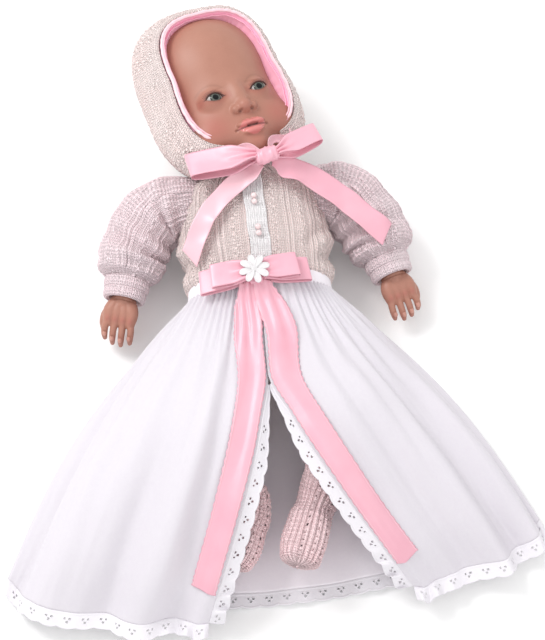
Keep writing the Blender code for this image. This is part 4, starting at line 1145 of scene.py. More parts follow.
def make_sleeve(side):
    sign = SIDES[side]
    points = [(0.0380, 0.0905, 0.0480), (0.0560, 0.0900, 0.0462), (0.0760, 0.0860, 0.0430),
              (0.0905, 0.0720, 0.0375), (0.1010, 0.0540, 0.0330), (0.1045, 0.0405, 0.0308),
              (0.1063, 0.0340, 0.0301)]
    rows, columns = 200, 220
    path = curve([mirrored(p, side) for p in points], rows)
    radii = curve([0.0185, 0.0238, 0.0270, 0.0276, 0.0268, 0.0228, 0.0172], rows)
    p = tube_points(path, radii, columns, X_AXIS * sign)
    centre = path[:, None]
    outward = unit(p - centre)
    s = np.linspace(0, 1, rows)[:, None]
    turn = 2 * np.pi * (np.arange(columns) + 0.5)[None] / columns
    girth = turn * 0.024
    relief = cable_relief(girth - 0.036, s * 0.085)
    lines = bell(np.mod(girth, 0.0285) - 0.008, 0.0009) * (0.4 + 0.6 * np.cos(s * 0.085 / 0.0016))
    inner = 0.5 + 0.5 * np.cos(turn + (0.9 if side == "left" else -0.9) - np.pi * 0.5 * sign)
    elbow = bell(s - 0.62, 0.20)
    folds = 0.0030 * elbow * np.sin(s * 38 + 1.6 * np.sin(turn)) * (0.12 + 0.88 * inner**2)
    pouch = 0.0021 * bell(s - 0.80, 0.10) * (1 + 0.35 * np.sin(turn * 3 + sign))
    armpit = 0.0022 * bell(s - 0.30, 0.12) * np.sin(s * 48 + turn * 1.5) * (0.15 + 0.85 * inner**2)
    gather = 0.0011 * step(0.82, 1.0, s) * np.abs(np.sin(turn * 15 + 0.4 * np.sin(turn * 4)))
    slack = 0.0014 * ripple(turn * 1.4, s * 8, 5 + sign)
    total = relief - 0.0006 * lines + folds + pouch + armpit - gather + slack * step(0, 0.15, s)
    p = p + outward * total[..., None]
    p[..., 2] = np.maximum(p[..., 2], 0.0016)
    sleeve = add_grid(f"sleeve_knit_{side}", p, SLEEVE_KNIT, closed=True)
    thicken(sleeve, 0.0018)
    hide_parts(f"sleeve_{side}")
    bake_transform(sleeve)
    axis = unit(mirrored(WRIST, side) - mirrored(ELBOW, side))
    end = mirrored(points[-1], side)
    rolls = []
    for number, (shift, inner_r, outer_r, length) in enumerate(
        ((0.0040, 0.0122, 0.0188, 0.0105), (0.0122, 0.0118, 0.0176, 0.0100))
    ):
        rolls.append(ring_piece(f"cuff_roll_{number}", end + axis * shift, axis, Z_AXIS, inner_r, outer_r,
                                length, SLEEVE_KNIT, 46, 0.05))
    cuff = joined(f"cuff_rolled_{side}", rolls)
    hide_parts(f"cuff_{side}")
    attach(cuff, f"upper_arm_{side}")


def make_waist_bow():
    centre = np.array((-0.004, 0.004, 0.0950))
    tied = knot("waist_bow_wrap", centre, (0.0070, 0.0098, 0.0030), SATIN)
    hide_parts("waist_bow_knot")
    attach(tied, "torso")
    for side, sign in SIDES.items():
        parts = []
        for number, (reach, rise, drop) in enumerate(((0.0375, 0.0034, -0.0006), (0.0285, 0.0030, 0.0052))):
            start = centre + np.array((sign * 0.0055, 0.0006 * number, drop * 0.5))
            droop = reach * 0.24
            tip = start + np.array((sign * reach, 0.0024 * sign, drop - droop))
            loop = bow_loop(f"waist_loop_{side}_{number}", start, tip, 0.0192, rise, SATIN, pinch=0.80,
                            fold=0.0006 * sign)
            parts.append(loop)
        loops = joined(f"waist_bow_layers_{side}", parts)
        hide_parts(f"waist_bow_loop_{side}")
        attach(loops, "torso")


def make_flower():
    """A moulded eight-petal flower: an outlined loop for each petal and a raised middle."""
    n = Nodes("flower_resin", (0.88, 0.86, 0.87), 0.28, Specular_IOR_Level=0.6)
    n.set("Coat Weight", 0.5)
    n.set("Alpha", 0.80)
    n.link(n.bump(n.noise(900, 2.0, n.place()), 0.0002, 0.6), "Normal")
    centre = np.array((-0.004, 0.004, 0.1003))
    parts = []
    for k in range(8):
        angle = 2 * math.pi * (k + 0.28) / 8
        out = np.array((math.cos(angle), math.sin(angle), 0))
        side = np.array((-math.sin(angle), math.cos(angle), 0))
        lean = 0.0006 if k % 2 else -0.0002
        t = np.linspace(0, 2 * np.pi, 60, endpoint=False)
        reach = 0.0020 + 0.0096 * (1 - np.cos(t)) / 2
        wide = 0.0027 * np.sin(t) * (0.55 + 0.45 * (1 - np.cos(t)) / 2)
        path = centre + out * reach[:, None] + side * wide[:, None]
        path = path + Z_AXIS * (lean + 0.0012 * np.sin(reach / 0.0132 * np.pi))[:, None]
        closed_path = np.vstack([path, path[:1], path[1:2]])
        rim = tube_points(closed_path, np.full(62, 0.00072), 8)[:-1]
        parts.append(add_grid(f"petal_rim_{k}", rim, n.material, closed=True, caps=True))
        rows = np.linspace(0, 1, 14)[:, None, None]
        mid = centre + out * 0.0078 + Z_AXIS * (lean + 0.0004)
        leaf = mid + (path[None] - mid) * rows
        leaf[..., 2] += 0.0007 * np.cos(rows[..., 0] * np.pi / 2)
        sheet = add_grid(f"petal_leaf_{k}", np.maximum(leaf, -1), n.material, closed=True)
        parts.append(thicken(sheet, 0.0005))
    tilt = np.linspace(0.06, np.pi / 2 + 0.5, 16)[:, None]
    turn = 2 * np.pi * np.arange(40)[None] / 40
    flat = np.sin(tilt)
    seed = np.stack([flat * np.cos(turn), flat * np.sin(turn), np.cos(tilt) * 0.7 + 0 * turn], -1)
    seed = seed * (0.0026 + 0.00022 * np.sin(turn * 8) * np.sin(tilt * 6))[..., None]
    middle = centre + Z_AXIS * 0.0008 + seed
    parts.append(add_grid("flower_middle", middle, n.material, closed=True, caps=True))
    flower = joined("flower_moulded", parts)
    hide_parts("flower_applique")
    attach(flower, "torso")


# ---- skirt ----

def seam_path(side, count):
    sign = SIDES[side]
    path = curve(SEAM_POINTS, count)
    s = np.linspace(0, 1, count)
    shift = SIDE_SHIFT[side] * s
    path[:, 0] = path[:, 0] * sign + shift
    path[:, 1] += shift * 0.6 if side == "right" else 0
    path[:, 2] = np.maximum(path[:, 2], 0.0012)
    return path


def front_surface(side, down, across):
    """Points of a front panel: down is 0 at the waist, across 0 at the slit and 1 at the seam."""
    seam_all, slit_all = seam_path(side, 241), curve(SLIT_POINTS[side], 241)
    s = np.linspace(0, 1, 241)
    seam = np.stack([np.interp(down, s, seam_all[:, k]) for k in range(3)], -1) + (0, 0, 0.0030)
    slit = np.stack([np.interp(down, s, slit_all[:, k]) for k in range(3)], -1)
    angle = np.clip(across, 0, 1) * np.pi / 2
    share = np.sin(angle) ** (1 + 0.15 * down)
    fall = np.clip(np.cos(angle), 0, 1) ** (1.0 - 0.45 * down)
    x = slit[..., 0] + (seam[..., 0] - slit[..., 0]) * share
    y = slit[..., 1] + (seam[..., 1] - slit[..., 1]) * np.clip(across, 0, 1) ** 1.5
    z = seam[..., 2] + (slit[..., 2] - seam[..., 2]) * fall
    lap = (1 - step(0.30, 0.44, down)) * step(0.22, 0.0, np.clip(across, 0, 1))
    x = x - lap * (0.0042 if side == "left" else -0.0022)
    z = z + lap * (0.0010 if side == "left" else -0.0008)
    bump = np.exp(-(((x - KNEE[0] * SIDES[side]) / 0.040) ** 2) - ((y - KNEE[1]) / 0.055) ** 2)
    return np.stack([x, y, z + KNEE_BUMP * bump], -1)


def pleats(side, down, across):
    """How far the panel's folds lift it: fine gathers at the waist, few broad folds at the hem."""
    seed = 1.7 if side == "left" else 4.3
    warp = across + 0.030 * np.sin(across * 9 + seed) + 0.012 * np.sin(down * 4 + seed)
    fine = np.sin(warp * 2 * np.pi * 17 + seed) * 0.0011 * (1 - step(0.05, 0.34, down))
    mid = np.sin(warp * 2 * np.pi * 7.5 + 2 * seed + down)
    mid = mid * 0.0019 * step(0.02, 0.30, down) * (1 - 0.75 * down)
    broad = np.sin(warp * 2 * np.pi * 2.7 + seed - 1.2 * down + 0.8 * np.sin(across * 7 + seed))
    broad = broad * 0.0066 * step(0.15, 0.85, down)
    crinkle = 0.0007 * ripple(across * 26, down * 7 + seed, seed) * step(0.1, 0.4, down)
    edge = np.clip(across / 0.06, 0, 1) * np.clip((1 - across) / 0.05, 0, 1)
    return (fine + (mid + broad) * edge) * (0.35 + 0.65 * edge) + crinkle * edge


def panel_points(side, down, across, lift=0.0):
    p = front_surface(side, down, across)
    eps = 1e-3
    above, below = (np.clip(down + move, 0, 1) for move in (-eps, eps))
    inner, outer = (np.clip(across + move, 0, 1) for move in (-eps, eps))
    du = front_surface(side, below, across) - front_surface(side, above, across)
    dv = front_surface(side, down, outer) - front_surface(side, down, inner)
    normal = unit(np.cross(du, dv))
    normal *= np.where(normal[..., 2:] < 0, -1, 1)
    return p + normal * (pleats(side, down, across) + lift)[..., None]


def blend_panel(obj):
    """Bake an object's placement into its mesh."""
    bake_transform(obj)


def make_skirt_front(side):
    rows, columns = 200, 210
    down = np.linspace(0, 1, rows)[:, None] + np.zeros((1, columns))
    across = np.linspace(0, 1, columns)[None] + np.zeros((rows, 1))
    p = panel_points(side, down, across)
    panel = add_grid(f"skirt_panel_{side}", p, BATISTE)
    thicken(panel, 0.0006)
    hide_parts(f"skirt_front_{side}")
    blend_panel(panel)
    return panel


def eyelet_band(name, edge, outward, up, width, material, spacing=0.0140, frill=0.0, bound=None):
    """A strip of broderie with real holes: scalloped outside, and a row of eyelets in threes."""
    edge = np.asarray(edge, float)
    length = np.concatenate([[0], np.cumsum(np.linalg.norm(np.diff(edge, axis=0), axis=1))])
    count = max(int(length[-1] / 0.00060), 40)
    at = np.linspace(0, length[-1], count)
    line = np.stack([np.interp(at, length, edge[:, k]) for k in range(3)], -1)
    way = unit(np.stack([np.interp(at, length, outward[:, k]) for k in range(3)], -1))
    wide = np.interp(at, length, np.broadcast_to(width, len(edge)))
    up = np.broadcast_to(up, edge.shape)
    lift = unit(np.stack([np.interp(at, length, up[:, k]) for k in range(3)], -1))
    columns = 26
    t = np.linspace(0, 1, columns)[None]
    phase = np.mod(at, spacing) / spacing
    scallop = 0.0016 * np.abs(np.sin(np.pi * at / spacing)) ** 0.6 * np.minimum(wide / 0.010, 1)
    reach = wide[:, None] * t + scallop[:, None] * t**2
    p = line[:, None] + way[:, None] * reach[..., None]
    wavy = 0.0006 * np.sin(at / 0.011)[:, None] * t + frill_height(at, frill)[:, None] * t**0.8
    seam = 0.0004 * bell(reach - 0.0012, 0.0005)
    p = p + lift[:, None] * (wavy + seam)[..., None]
    local = (phase[:, None] - 0.5) * spacing
    gone = np.zeros(reach.shape, bool)
    raised = np.zeros(reach.shape)
    flowers = ((0.0, 0.66, 0.00060), (-0.0020, 0.44, 0.00050), (0.0020, 0.44, 0.00050))
    for centre, high, radius in flowers:
        away = np.hypot(local - centre, reach - wide[:, None] * high)
        room = wide[:, None] > 0.0070
        gone |= (away < radius) & room
        raised += 0.00035 * bell(away - radius - 0.0004, 0.0004) * room
    raised += 0.00040 * bell(reach - wide[:, None] - scallop[:, None] + 0.0006, 0.0006)
    p = p + lift[:, None] * raised[..., None]
    p[..., 2] = np.maximum(p[..., 2], 0.0006)
    faces, uv = grid_parts(p)
    keep = ~gone.reshape(-1)[faces].any(1)
    if bound is not None:
        keep &= bound(p.reshape(-1, 3)[faces].mean(1))
    uv = uv.reshape(-1, 4, 2)[keep].reshape(-1, 2)
    band = add_mesh(name, p.reshape(-1, 3), faces[keep].tolist(), material, uv)
    bm = bmesh.new()
    bm.from_mesh(band.data)
    bmesh.ops.delete(bm, geom=[v for v in bm.verts if not v.link_faces], context="VERTS")
    bmesh.ops.recalc_face_normals(bm, faces=bm.faces)
    bm.to_mesh(band.data)
    bm.free()
    return thicken(band, 0.0005)


def frill_height(at, frill):
    """Gathers at the end of a trim, where it turns the corner."""
    if not frill:
        return 0 * at
    end = at[-1] - at if frill > 0 else at
    return 0.0050 * step(0.050, 0.012, end) * (0.35 + np.sin(at / 0.0024))


def make_trims(side):
    sign = SIDES[side]
    count = 260
    down = np.linspace(1 / 3, 1.0, count)
    edge = panel_points(side, down, 0 * down)
    share = np.clip((down - 1 / 3) * 1.4 + 0.15, 0, 1)
    outward = unit(np.stack([-sign * np.minimum(share, 1), -0.10 + 0 * down, -0.25 + 0 * down], -1))
    width = np.minimum(0.0030 + 0.034 * (down - 1 / 3), 0.0105)
    trim = eyelet_band(f"slit_eyelet_{side}", edge, outward, (0, 0, 1.0), width, EYELET, frill=1.0)
    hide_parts(f"slit_trim_{side}")
    blend_panel(trim)
    across = np.linspace(0, 1, 420)
    hem = panel_points(side, 0 * across + 1.0, across)
    outward = unit(np.stack([hem[:, 0] * 0.30, -0.20 + 0 * across, -0.02 + 0 * across], -1))
    trim_hem = eyelet_band(f"hem_eyelet_{side}", hem, outward, (0, 0, 1.0), 0.0110, EYELET, frill=-1.0)
    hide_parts(f"hem_trim_{side}")
    blend_panel(trim_hem)


def make_skirt_back():
    rows, columns = 150, 260
    s = np.linspace(0, 1, rows)
    left, right = seam_path("left", rows), seam_path("right", rows)
    middle = BACK_HEM_Y * s**1.1
    angle = np.pi * (np.linspace(0, 1, columns) - 0.5)[None]
    side = np.sin(angle)
    mean = ((left + right) / 2)[:, None]
    x = mean[..., 0] + ((left[:, 0] - right[:, 0]) / 2)[:, None] * side
    edge_y = np.where(side < 0, right[:, 1:2], left[:, 1:2])
    y = middle[:, None] + (edge_y - middle[:, None]) * side**2
    z = 0.0012 + (mean[..., 2] - 0.0012) * (1 - np.cos(angle))
    down = s[:, None]
    folds = np.sin(side * 19 + 2.0 * np.sin(side * 3)) * 0.5 + 0.5
    raised = 0.0016 * folds + 0.0012 * (1 + ripple(side * 8, down * 6, 9))
    z = z + raised * step(0.12, 0.5, down) * np.cos(angle) ** 0.5
    p = np.stack([x, y, z], -1)
    # The back panel's cloth is painted lighter than the front panels' same batiste: painted light.
    back = add_grid("skirt_back_panel", p, BACK_BATISTE_LIT)
    thicken(back, 0.0006)
    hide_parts("skirt_back")
    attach(back, "torso")
    edge = p[-1]
    outward = unit(np.stack([edge[:, 0] * 0.35, -0.20 + 0 * edge[:, 0], 0 * edge[:, 0]], -1))
    trim = eyelet_band("back_hem_eyelet", edge, outward, (0, 0, 1.0), 0.0105, EYELET)
    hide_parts("hem_trim_back")
    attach(trim, "torso")


def make_waist_tail(side):
    sign = SIDES[side]
    count = 230
    down = np.linspace(0.012, 0.895, count)
    columns = 17
    t = np.linspace(-1, 1, columns)
    seam, slit = seam_path(side, 241)[:, 0], curve(SLIT_POINTS[side], 241)[:, 0]
    s = np.linspace(0, 1, 241)
    reach = np.abs(np.interp(down, s, seam) - np.interp(down, s, slit))
    offset = 0.0064 + 0.0056 * step(0.0, 0.2, down) - 0.0010 * down
    half = RIBBON_WIDTH / 2 * (0.55 + 0.45 * step(0.0, 0.10, down))
    metres = down * 0.255
    picot = 0.00035 * np.sin(metres / 0.0012 * 2 * np.pi)[:, None] * (np.abs(t) > 0.99)
    place = offset[:, None] + (half[:, None] + picot) * t
    share = np.clip(place / reach[:, None], 0, 1)
    across = np.arcsin(share ** (1 / (1 + 0.15 * down[:, None]))) * 2 / np.pi
    slant = 0.020 * step(0.93, 1.0, np.linspace(0, 1, count))[:, None] * (-t[None] * 0.5 - 0.5)
    rows = np.clip(down[:, None] + slant, 0, 1)
    p = panel_points(side, rows, across, 0.0016)
    p[..., 2] += 0.0012 * np.sin(metres / 0.021 + sign)[:, None] * step(0.1, 0.3, down)[:, None] + 0.0010
    p[..., 2] += 0.0052 * (1 - step(0.0, 0.07, down))[:, None]
    p[..., 0] -= 0.004 * (1 - step(0.0, 0.16, down))[:, None]
    tail = add_grid(f"waist_tail_satin_{side}", p, SATIN)
    thicken(tail, 0.0005)
    stitches = []
    for k in (1, columns - 2):
        cord = tube_points(p[:, k] + (0, 0, 0.0003), np.full(count, 0.0003), 6)
        stitches.append(add_grid(f"edge_{k}", cord, PALE_SATIN, closed=True, caps=True))
    edging = joined(f"waist_tail_edging_{side}", stitches)
    for piece in (tail, edging):
        blend_panel(piece)
    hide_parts(f"waist_bow_tail_{side}")


# ---- limbs ----


def capsule(points, radii, count=20):
    """A closed rod with round ends, to be fused with others."""
    path = curve(points, 24)
    size = curve(radii, 24)
    p = tube_points(path, size, count)
    ends = []
    for at, way in ((0, -1), (-1, 1)):
        along = unit(path[at] - path[at - way])
        for k in (0.5, 0.8, 0.97):
            shrink = math.sqrt(1 - k * k)
            ends.append(path[at] + (p[at] - path[at]) * shrink + along * size[at] * k)
    return np.concatenate([np.array(ends[:3])[::-1], p, np.array(ends[3:])])


def add_forearm(side):
    """A porcelain forearm whose hand has nails, knuckles and creases."""
    elbow, wrist = mirrored(ELBOW, side), mirrored(WRIST, side)
    along = unit(wrist - elbow)
    across = unit(np.cross(along, Z_AXIS))
    rise = np.cross(across, along)
    start = elbow + along * 0.0012
    reach = np.linalg.norm(wrist - start)
    thumb = 1 if side == "left" else -1

    def at(d, a=0.0, r=0.0):
        return start + along * d + across * a + rise * r

    curl = 1.0 if side == "left" else 1.5
    shapes = [capsule([at(0.004), at(0.012), at(reach * 0.7), at(reach)], [0.0088, 0.0098, 0.0090, 0.0078])]
    for k in range(4):
        off = (k - 1.5) * 0.0060
        shapes.append(capsule([at(reach - 0.001, off * 0.5), at(reach + 0.008, off * 0.95, 0.0004),
                               at(reach + 0.0165, off, -0.0012)], [0.0062, 0.0060, 0.0045]))
        long = (0.0150, 0.0178, 0.0170, 0.0135)[k if side == "right" else 3 - k]
        bow = 0.0009 * (k - 1.5)
        shapes.append(capsule(
            [at(reach + 0.0150, off, -0.0008), at(reach + 0.0150 + long * 0.45, off * 1.04 + bow, -0.0014 * curl),
             at(reach + 0.0150 + long * 0.80, off * 1.05 + bow, -0.0042 * curl),
             at(reach + 0.0150 + long * 0.98, off * 1.02 + bow, -0.0078 * curl)],
            [0.0033, 0.0029, 0.0027, 0.0020]))
    shapes.append(capsule([at(reach + 0.004, -0.0060 * thumb, -0.0020),
                           at(reach + 0.010, -0.0115 * thumb, -0.0035),
                           at(reach + 0.0165, -0.0130 * thumb, -0.0055),
                           at(reach + 0.0215, -0.0122 * thumb, -0.0078)],
                          [0.0056, 0.0046, 0.0037, 0.0027]))
    parts = [add_grid(f"hand_shape_{k}", p, SKIN, closed=True, caps=True) for k, p in enumerate(shapes)]
    arm = remesh(joined(f"porcelain_forearm_{side}", parts), 0.00050, smooth=7)
    mesh = arm.data
    co = np.empty(len(mesh.vertices) * 3)
    no = np.empty(len(mesh.vertices) * 3)
    mesh.vertices.foreach_get("co", co)
    mesh.vertices.foreach_get("normal", no)
    co, no = co.reshape(-1, 3), no.reshape(-1, 3)
    local = co - ORIGIN - start
    d, a, r = local @ along, local @ across, local @ rise
    top = step(-0.2, 0.5, no @ rise)
    push = np.zeros(len(co))
    blush_and_shade = 0.25 * step(reach + 0.022, reach + 0.036, d) + 0.10
    for k in range(4):
        off = (k - 1.5) * 0.0060
        lane = bell(a - off * 1.04, 0.0022)
        push += 0.00055 * bell(d - reach - 0.0155, 0.0020) * lane * top
        blush_and_shade += 0.45 * bell(d - reach - 0.0155, 0.0028) * lane * top
        for joint in (0.0228, 0.0245):
            push -= 0.00022 * bell(d - reach - joint, 0.00035) * lane * top
        gap = bell(a - off - 0.0027, 0.0006) * (k < 3) * step(reach + 0.006, reach + 0.014, d)
        push -= 0.00035 * gap * top
    push -= 0.00045 * bell(d - reach + 0.001, 0.0007)
    co += no * push[:, None]
    mesh.vertices.foreach_set("co", co.ravel())
    mesh.update()
    paint(mesh, "blush_and_shade", blush_and_shade)
    for name in ("lid", "brow", "lip", "lash_line_and_shade"):
        paint(mesh, name, np.zeros(len(co)))
    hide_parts(f"forearm_{side}")
    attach(arm, f"forearm_{side}")
    nails = []
    for k in range(4):
        off = (k - 1.5) * 0.0060
        long = (0.0150, 0.0178, 0.0170, 0.0135)[k if side == "right" else 3 - k]
        place = at(reach + 0.0150 + long * 0.86, off * 1.03 + 0.0006 * (k - 1.5), -0.0030 * curl + 0.0010)
        grid = np.stack(np.meshgrid(np.linspace(-1, 1, 9), np.linspace(-1, 1, 9), indexing="ij"), -1)
        squeeze = 1 - 0.35 * grid[..., :1] ** 2
        u, v = grid[..., 0:1], grid[..., 1:2] * squeeze
        way = unit(along * 0.55 - rise * 0.55 * curl / 1.2)
        out = np.cross(way, across)
        out = out * np.sign(out @ rise)
        p = place + way * u * 0.0020 + across * v * 0.0016 + out * (0.0012 - 0.0009 * v**2 - 0.0003 * u**2)
        nails.append(thicken(add_grid(f"nail_{k}", p, NAIL), 0.0004))
    nail = joined(f"finger_nails_{side}", nails)
    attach(nail, f"forearm_{side}")


def nail_material():
    n = Nodes("nail_paint", (0.55, 0.25, 0.19), 0.28)
    n.link(n.mix(n.noise(500, 2.0, n.place()), (0.52, 0.24, 0.18, 1), (0.60, 0.31, 0.25, 1)), "Base Color")
    return n.material


NAIL = nail_material()


def stuffed(name, shapes, material, body, node):
    """A sewn and stuffed piece: fused shapes, swollen a little by a cloth simulation."""
    parts = [add_grid(f"{name}_{k}", p, material, closed=True, caps=True) for k, p in enumerate(shapes)]
    obj = remesh(joined(name, parts), 0.0045, smooth=3)
    before = np.empty(len(obj.data.vertices) * 3)
    obj.data.vertices.foreach_get("co", before)
    before = before.reshape(-1, 3)
    no = np.empty(before.size)
    obj.data.vertices.foreach_get("normal", no)
    slack = before - no.reshape(-1, 3) * 0.0010
    obj.data.vertices.foreach_set("co", slack.ravel())
    obj.data.update()
    cloth = obj.modifiers.new("cloth", "CLOTH")
    cloth.settings.quality = 5
    cloth.settings.use_pressure = True
    cloth.settings.uniform_pressure_force = 4
    cloth.settings.effector_weights.gravity = 0
    scene = bpy.context.scene
    for number in range(1, 13):
        scene.frame_set(number)
    bake_modifiers(obj)
    scene.frame_set(1)
    after = np.empty(before.size)
    obj.data.vertices.foreach_get("co", after)
    move = after.reshape(-1, 3) - slack
    far = np.linalg.norm(move, axis=1, keepdims=True)
    capped = slack + move * np.minimum(1, 0.0012 / np.maximum(far, 1e-9))
    obj.data.vertices.foreach_set("co", capped.ravel())
    obj.data.update()
    obj.modifiers.new("soft", "SUBSURF").levels = 1
    bake_modifiers(obj)
    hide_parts(node)
    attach(obj, body)
    return obj


TORSO_SECTIONS = [
    (0.090, 0.018, 0.014, 0.056), (0.087, 0.036, 0.025, 0.051), (0.080, 0.047, 0.033, 0.047),
    (0.062, 0.0515, 0.0365, 0.045), (0.030, 0.0500, 0.0365, 0.045), (0.000, 0.0490, 0.0360, 0.045),
    (-0.020, 0.0480, 0.0340, 0.044), (-0.038, 0.0430, 0.0290, 0.044), (-0.050, 0.0300, 0.0200, 0.044),
]


def make_stuffed_body():
    rings = curve(np.array(TORSO_SECTIONS), 40)
    turn = 2 * np.pi * (np.arange(40) + 0.5) / 40
    p = np.stack([rings[:, 1:2] * np.sin(turn), rings[:, 0:1] + 0 * turn,
                  rings[:, 3:4] + rings[:, 2:3] * np.cos(turn)], -1)
    stuffed("stuffed_torso", [p], CALICO, "torso", "torso_cloth")
    for side in SIDES:
        shoulder, elbow = mirrored(SHOULDER, side), mirrored(ELBOW, side)
        along = unit(mirrored(WRIST, side) - elbow)
        outward = shoulder + np.array((SIDES[side] * 0.016, -0.006, -0.002))
        before = elbow - along * 0.014
        arm = [capsule([shoulder, shoulder + (0.0005, 0, 0)], [0.0160, 0.0160]),
               capsule([shoulder, outward, (outward + before) / 2, before, elbow - along * 0.008],
                       [0.0110, 0.0125, 0.0125, 0.0100, 0.0080])]
        stuffed(f"stuffed_arm_{side}", arm, CALICO, f"upper_arm_{side}", f"upper_arm_{side}")
        hip, knee = mirrored(HIP, side), mirrored(KNEE, side)
        way = unit(ANKLES[side] - knee)
        above = knee - way * 0.020
        leg = [capsule([hip, hip + (0.0005, 0, 0)], [0.0180, 0.0180]),
               capsule([hip, (hip + above) / 2, above, knee - way * 0.010], [0.0150, 0.0138, 0.0122, 0.0104])]
        stuffed(f"stuffed_leg_{side}", leg, CALICO, f"upper_leg_{side}", f"upper_leg_{side}")
        for name, centre, axis, inner, outer in (
            ("arm", elbow - along * 0.0060, along, 0.0096, 0.0124),
            ("leg", knee - way * 0.0036, way, 0.0128, 0.0154),
        ):
            tie = ring_piece(f"{name}_cord_{side}", centre, axis, Z_AXIS, inner, outer, 0.0030,
                             CORD, 40, 0.12)
            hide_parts(f"{name}_tie_{side}")
            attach(tie, f"upper_{name}_{side}")


def leg_rings(side, profile):
    """Rings from the knee over the ankle to the toes: (share, width, height, on the foot)."""
    knee, ankle, toe = mirrored(KNEE, side), ANKLES[side], TOES[side]
    along = unit(ankle - knee)
    start = knee + along * 0.0012
    foot = unit(toe - ankle)
    centres, widths, heights = [], [], []
    for place, width, height, on_foot in profile:
        centres.append(ankle + foot * place if on_foot else start + (ankle - start) * place)
        widths.append(width)
        heights.append(height)
    path = curve(centres, 130)
    wide, high = curve(widths, 130), curve(heights, 130)
    way = np.gradient(path, axis=0)
    for _ in range(10):
        way[1:-1] = (way[:-2] + 2 * way[1:-1] + way[2:]) / 4
    way = unit(way)
    across = unit(np.cross(way, Z_AXIS))
    return path, across, np.cross(across, way), wide, high


def make_leg(side):
    shin = [(0.0, 0.0128, 0.0128, 0), (0.12, 0.0134, 0.0134, 0), (0.34, 0.0143, 0.0143, 0),
            (0.66, 0.0127, 0.0127, 0), (0.90, 0.0108, 0.0110, 0), (0.007, 0.0108, 0.0122, 1),
            (0.018, 0.0112, 0.0128, 1),
            (0.032, 0.0123, 0.0110, 1), (0.042, 0.0115, 0.0086, 1), (0.047, 0.0070, 0.0052, 1)]
    path, across, rise, wide, high = leg_rings(side, shin)
    turn = 2 * np.pi * (np.arange(72) + 0.5)[None] / 72
    s = np.linspace(0, 1, 130)[:, None]
    crease = 1 - 0.055 * bell(s - 0.30, 0.010) * (0.4 + 0.6 * np.cos(turn)) - 0.05 * bell(s - 0.60, 0.010)
    p = path[:, None] + across[:, None] * (wide[:, None] * crease * np.sin(turn))[..., None]
    p = p + rise[:, None] * (high[:, None] * crease * np.cos(turn))[..., None]
    leg = add_grid(f"porcelain_leg_{side}", p, SKIN, closed=True, caps=True)
    paint(leg.data, "blush_and_shade", np.full(len(leg.data.vertices), 0.12))
    for name in ("lid", "brow", "lip", "lash_line_and_shade"):
        paint(leg.data, name, np.zeros(len(leg.data.vertices)))
    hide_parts(f"lower_leg_{side}")
    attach(leg, f"lower_leg_{side}")
    boot = [(0.50, 0.0192, 0.0192, 0), (0.62, 0.0184, 0.0184, 0), (0.74, 0.0164, 0.0166, 0),
            (0.90, 0.0148, 0.0152, 0), (0.007, 0.0148, 0.0164, 1), (0.018, 0.0152, 0.0170, 1),
            (0.032, 0.0165, 0.0152, 1), (0.0425, 0.0155, 0.0126, 1), (0.0490, 0.0122, 0.0094, 1),
            (0.0515, 0.0010, 0.0008, 1)]
    path, across, rise, wide, high = leg_rings(side, boot)
    count = 240
    turn = 2 * np.pi * (np.arange(count) + 0.5)[None] / count
    girth = turn * 0.0165
    v = s * 0.105
    ribs = 0.0008 * np.sign(np.cos(turn * 22)) * np.abs(np.cos(turn * 22)) ** 0.6
    links = 0.00045 * np.sin(v / 0.0030 * 2 * np.pi) * (np.cos(turn * 22) > 0)
    slack = 0.0012 * ripple(turn * 1.5, s * 8, 11 + SIDES[side]) - 0.0014 * bell(s - 0.42, 0.05)
    lift = (ribs + links) * step(0.99, 0.90, s) * (1 - 0.6 * bell(s, 0.05)) + slack
    p = path[:, None] + across[:, None] * ((wide[:, None] + lift) * np.sin(turn))[..., None]
    p = p + rise[:, None] * ((high[:, None] + lift) * np.cos(turn))[..., None]
    p[..., 2] = np.maximum(p[..., 2], 0.0055)
    holes = (np.mod(girth, 0.0094) < 0.0016) & (np.mod(v, 0.0052) < 0.0020) & (s > 0.12) & (s < 0.90)
    faces, uv = grid_parts(p, closed=True)
    keep = ~holes.reshape(-1)[faces].all(1)
    faces, uv = faces[keep].tolist(), uv.reshape(-1, 4, 2)[keep].reshape(-1, 2)
    faces.append(list(range((len(path) - 1) * count, len(path) * count)))
    uv = np.concatenate([uv, np.zeros((count, 2))])
    sock = add_mesh(f"bootie_openwork_{side}", p.reshape(-1, 3), faces, BOOT_KNIT, uv)
    bm = bmesh.new()
    bm.from_mesh(sock.data)
    bmesh.ops.delete(bm, geom=[x for x in bm.verts if not x.link_faces], context="VERTS")
    bmesh.ops.recalc_face_normals(bm, faces=bm.faces)
    bm.to_mesh(sock.data)
    bm.free()
    thicken(sock, 0.0014)
    along = unit(path[6] - path[0])
    cuff = ring_piece(f"bootie_cuff_{side}", path[5], along, Z_AXIS, 0.0185, 0.0222, 0.0110,
                      BOOT_KNIT, 36, 0.16)
    both = joined(f"bootie_knit_{side}", [sock, cuff])
    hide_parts(f"bootie_{side}")
    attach(both, f"lower_leg_{side}")
    make_pompom(side)


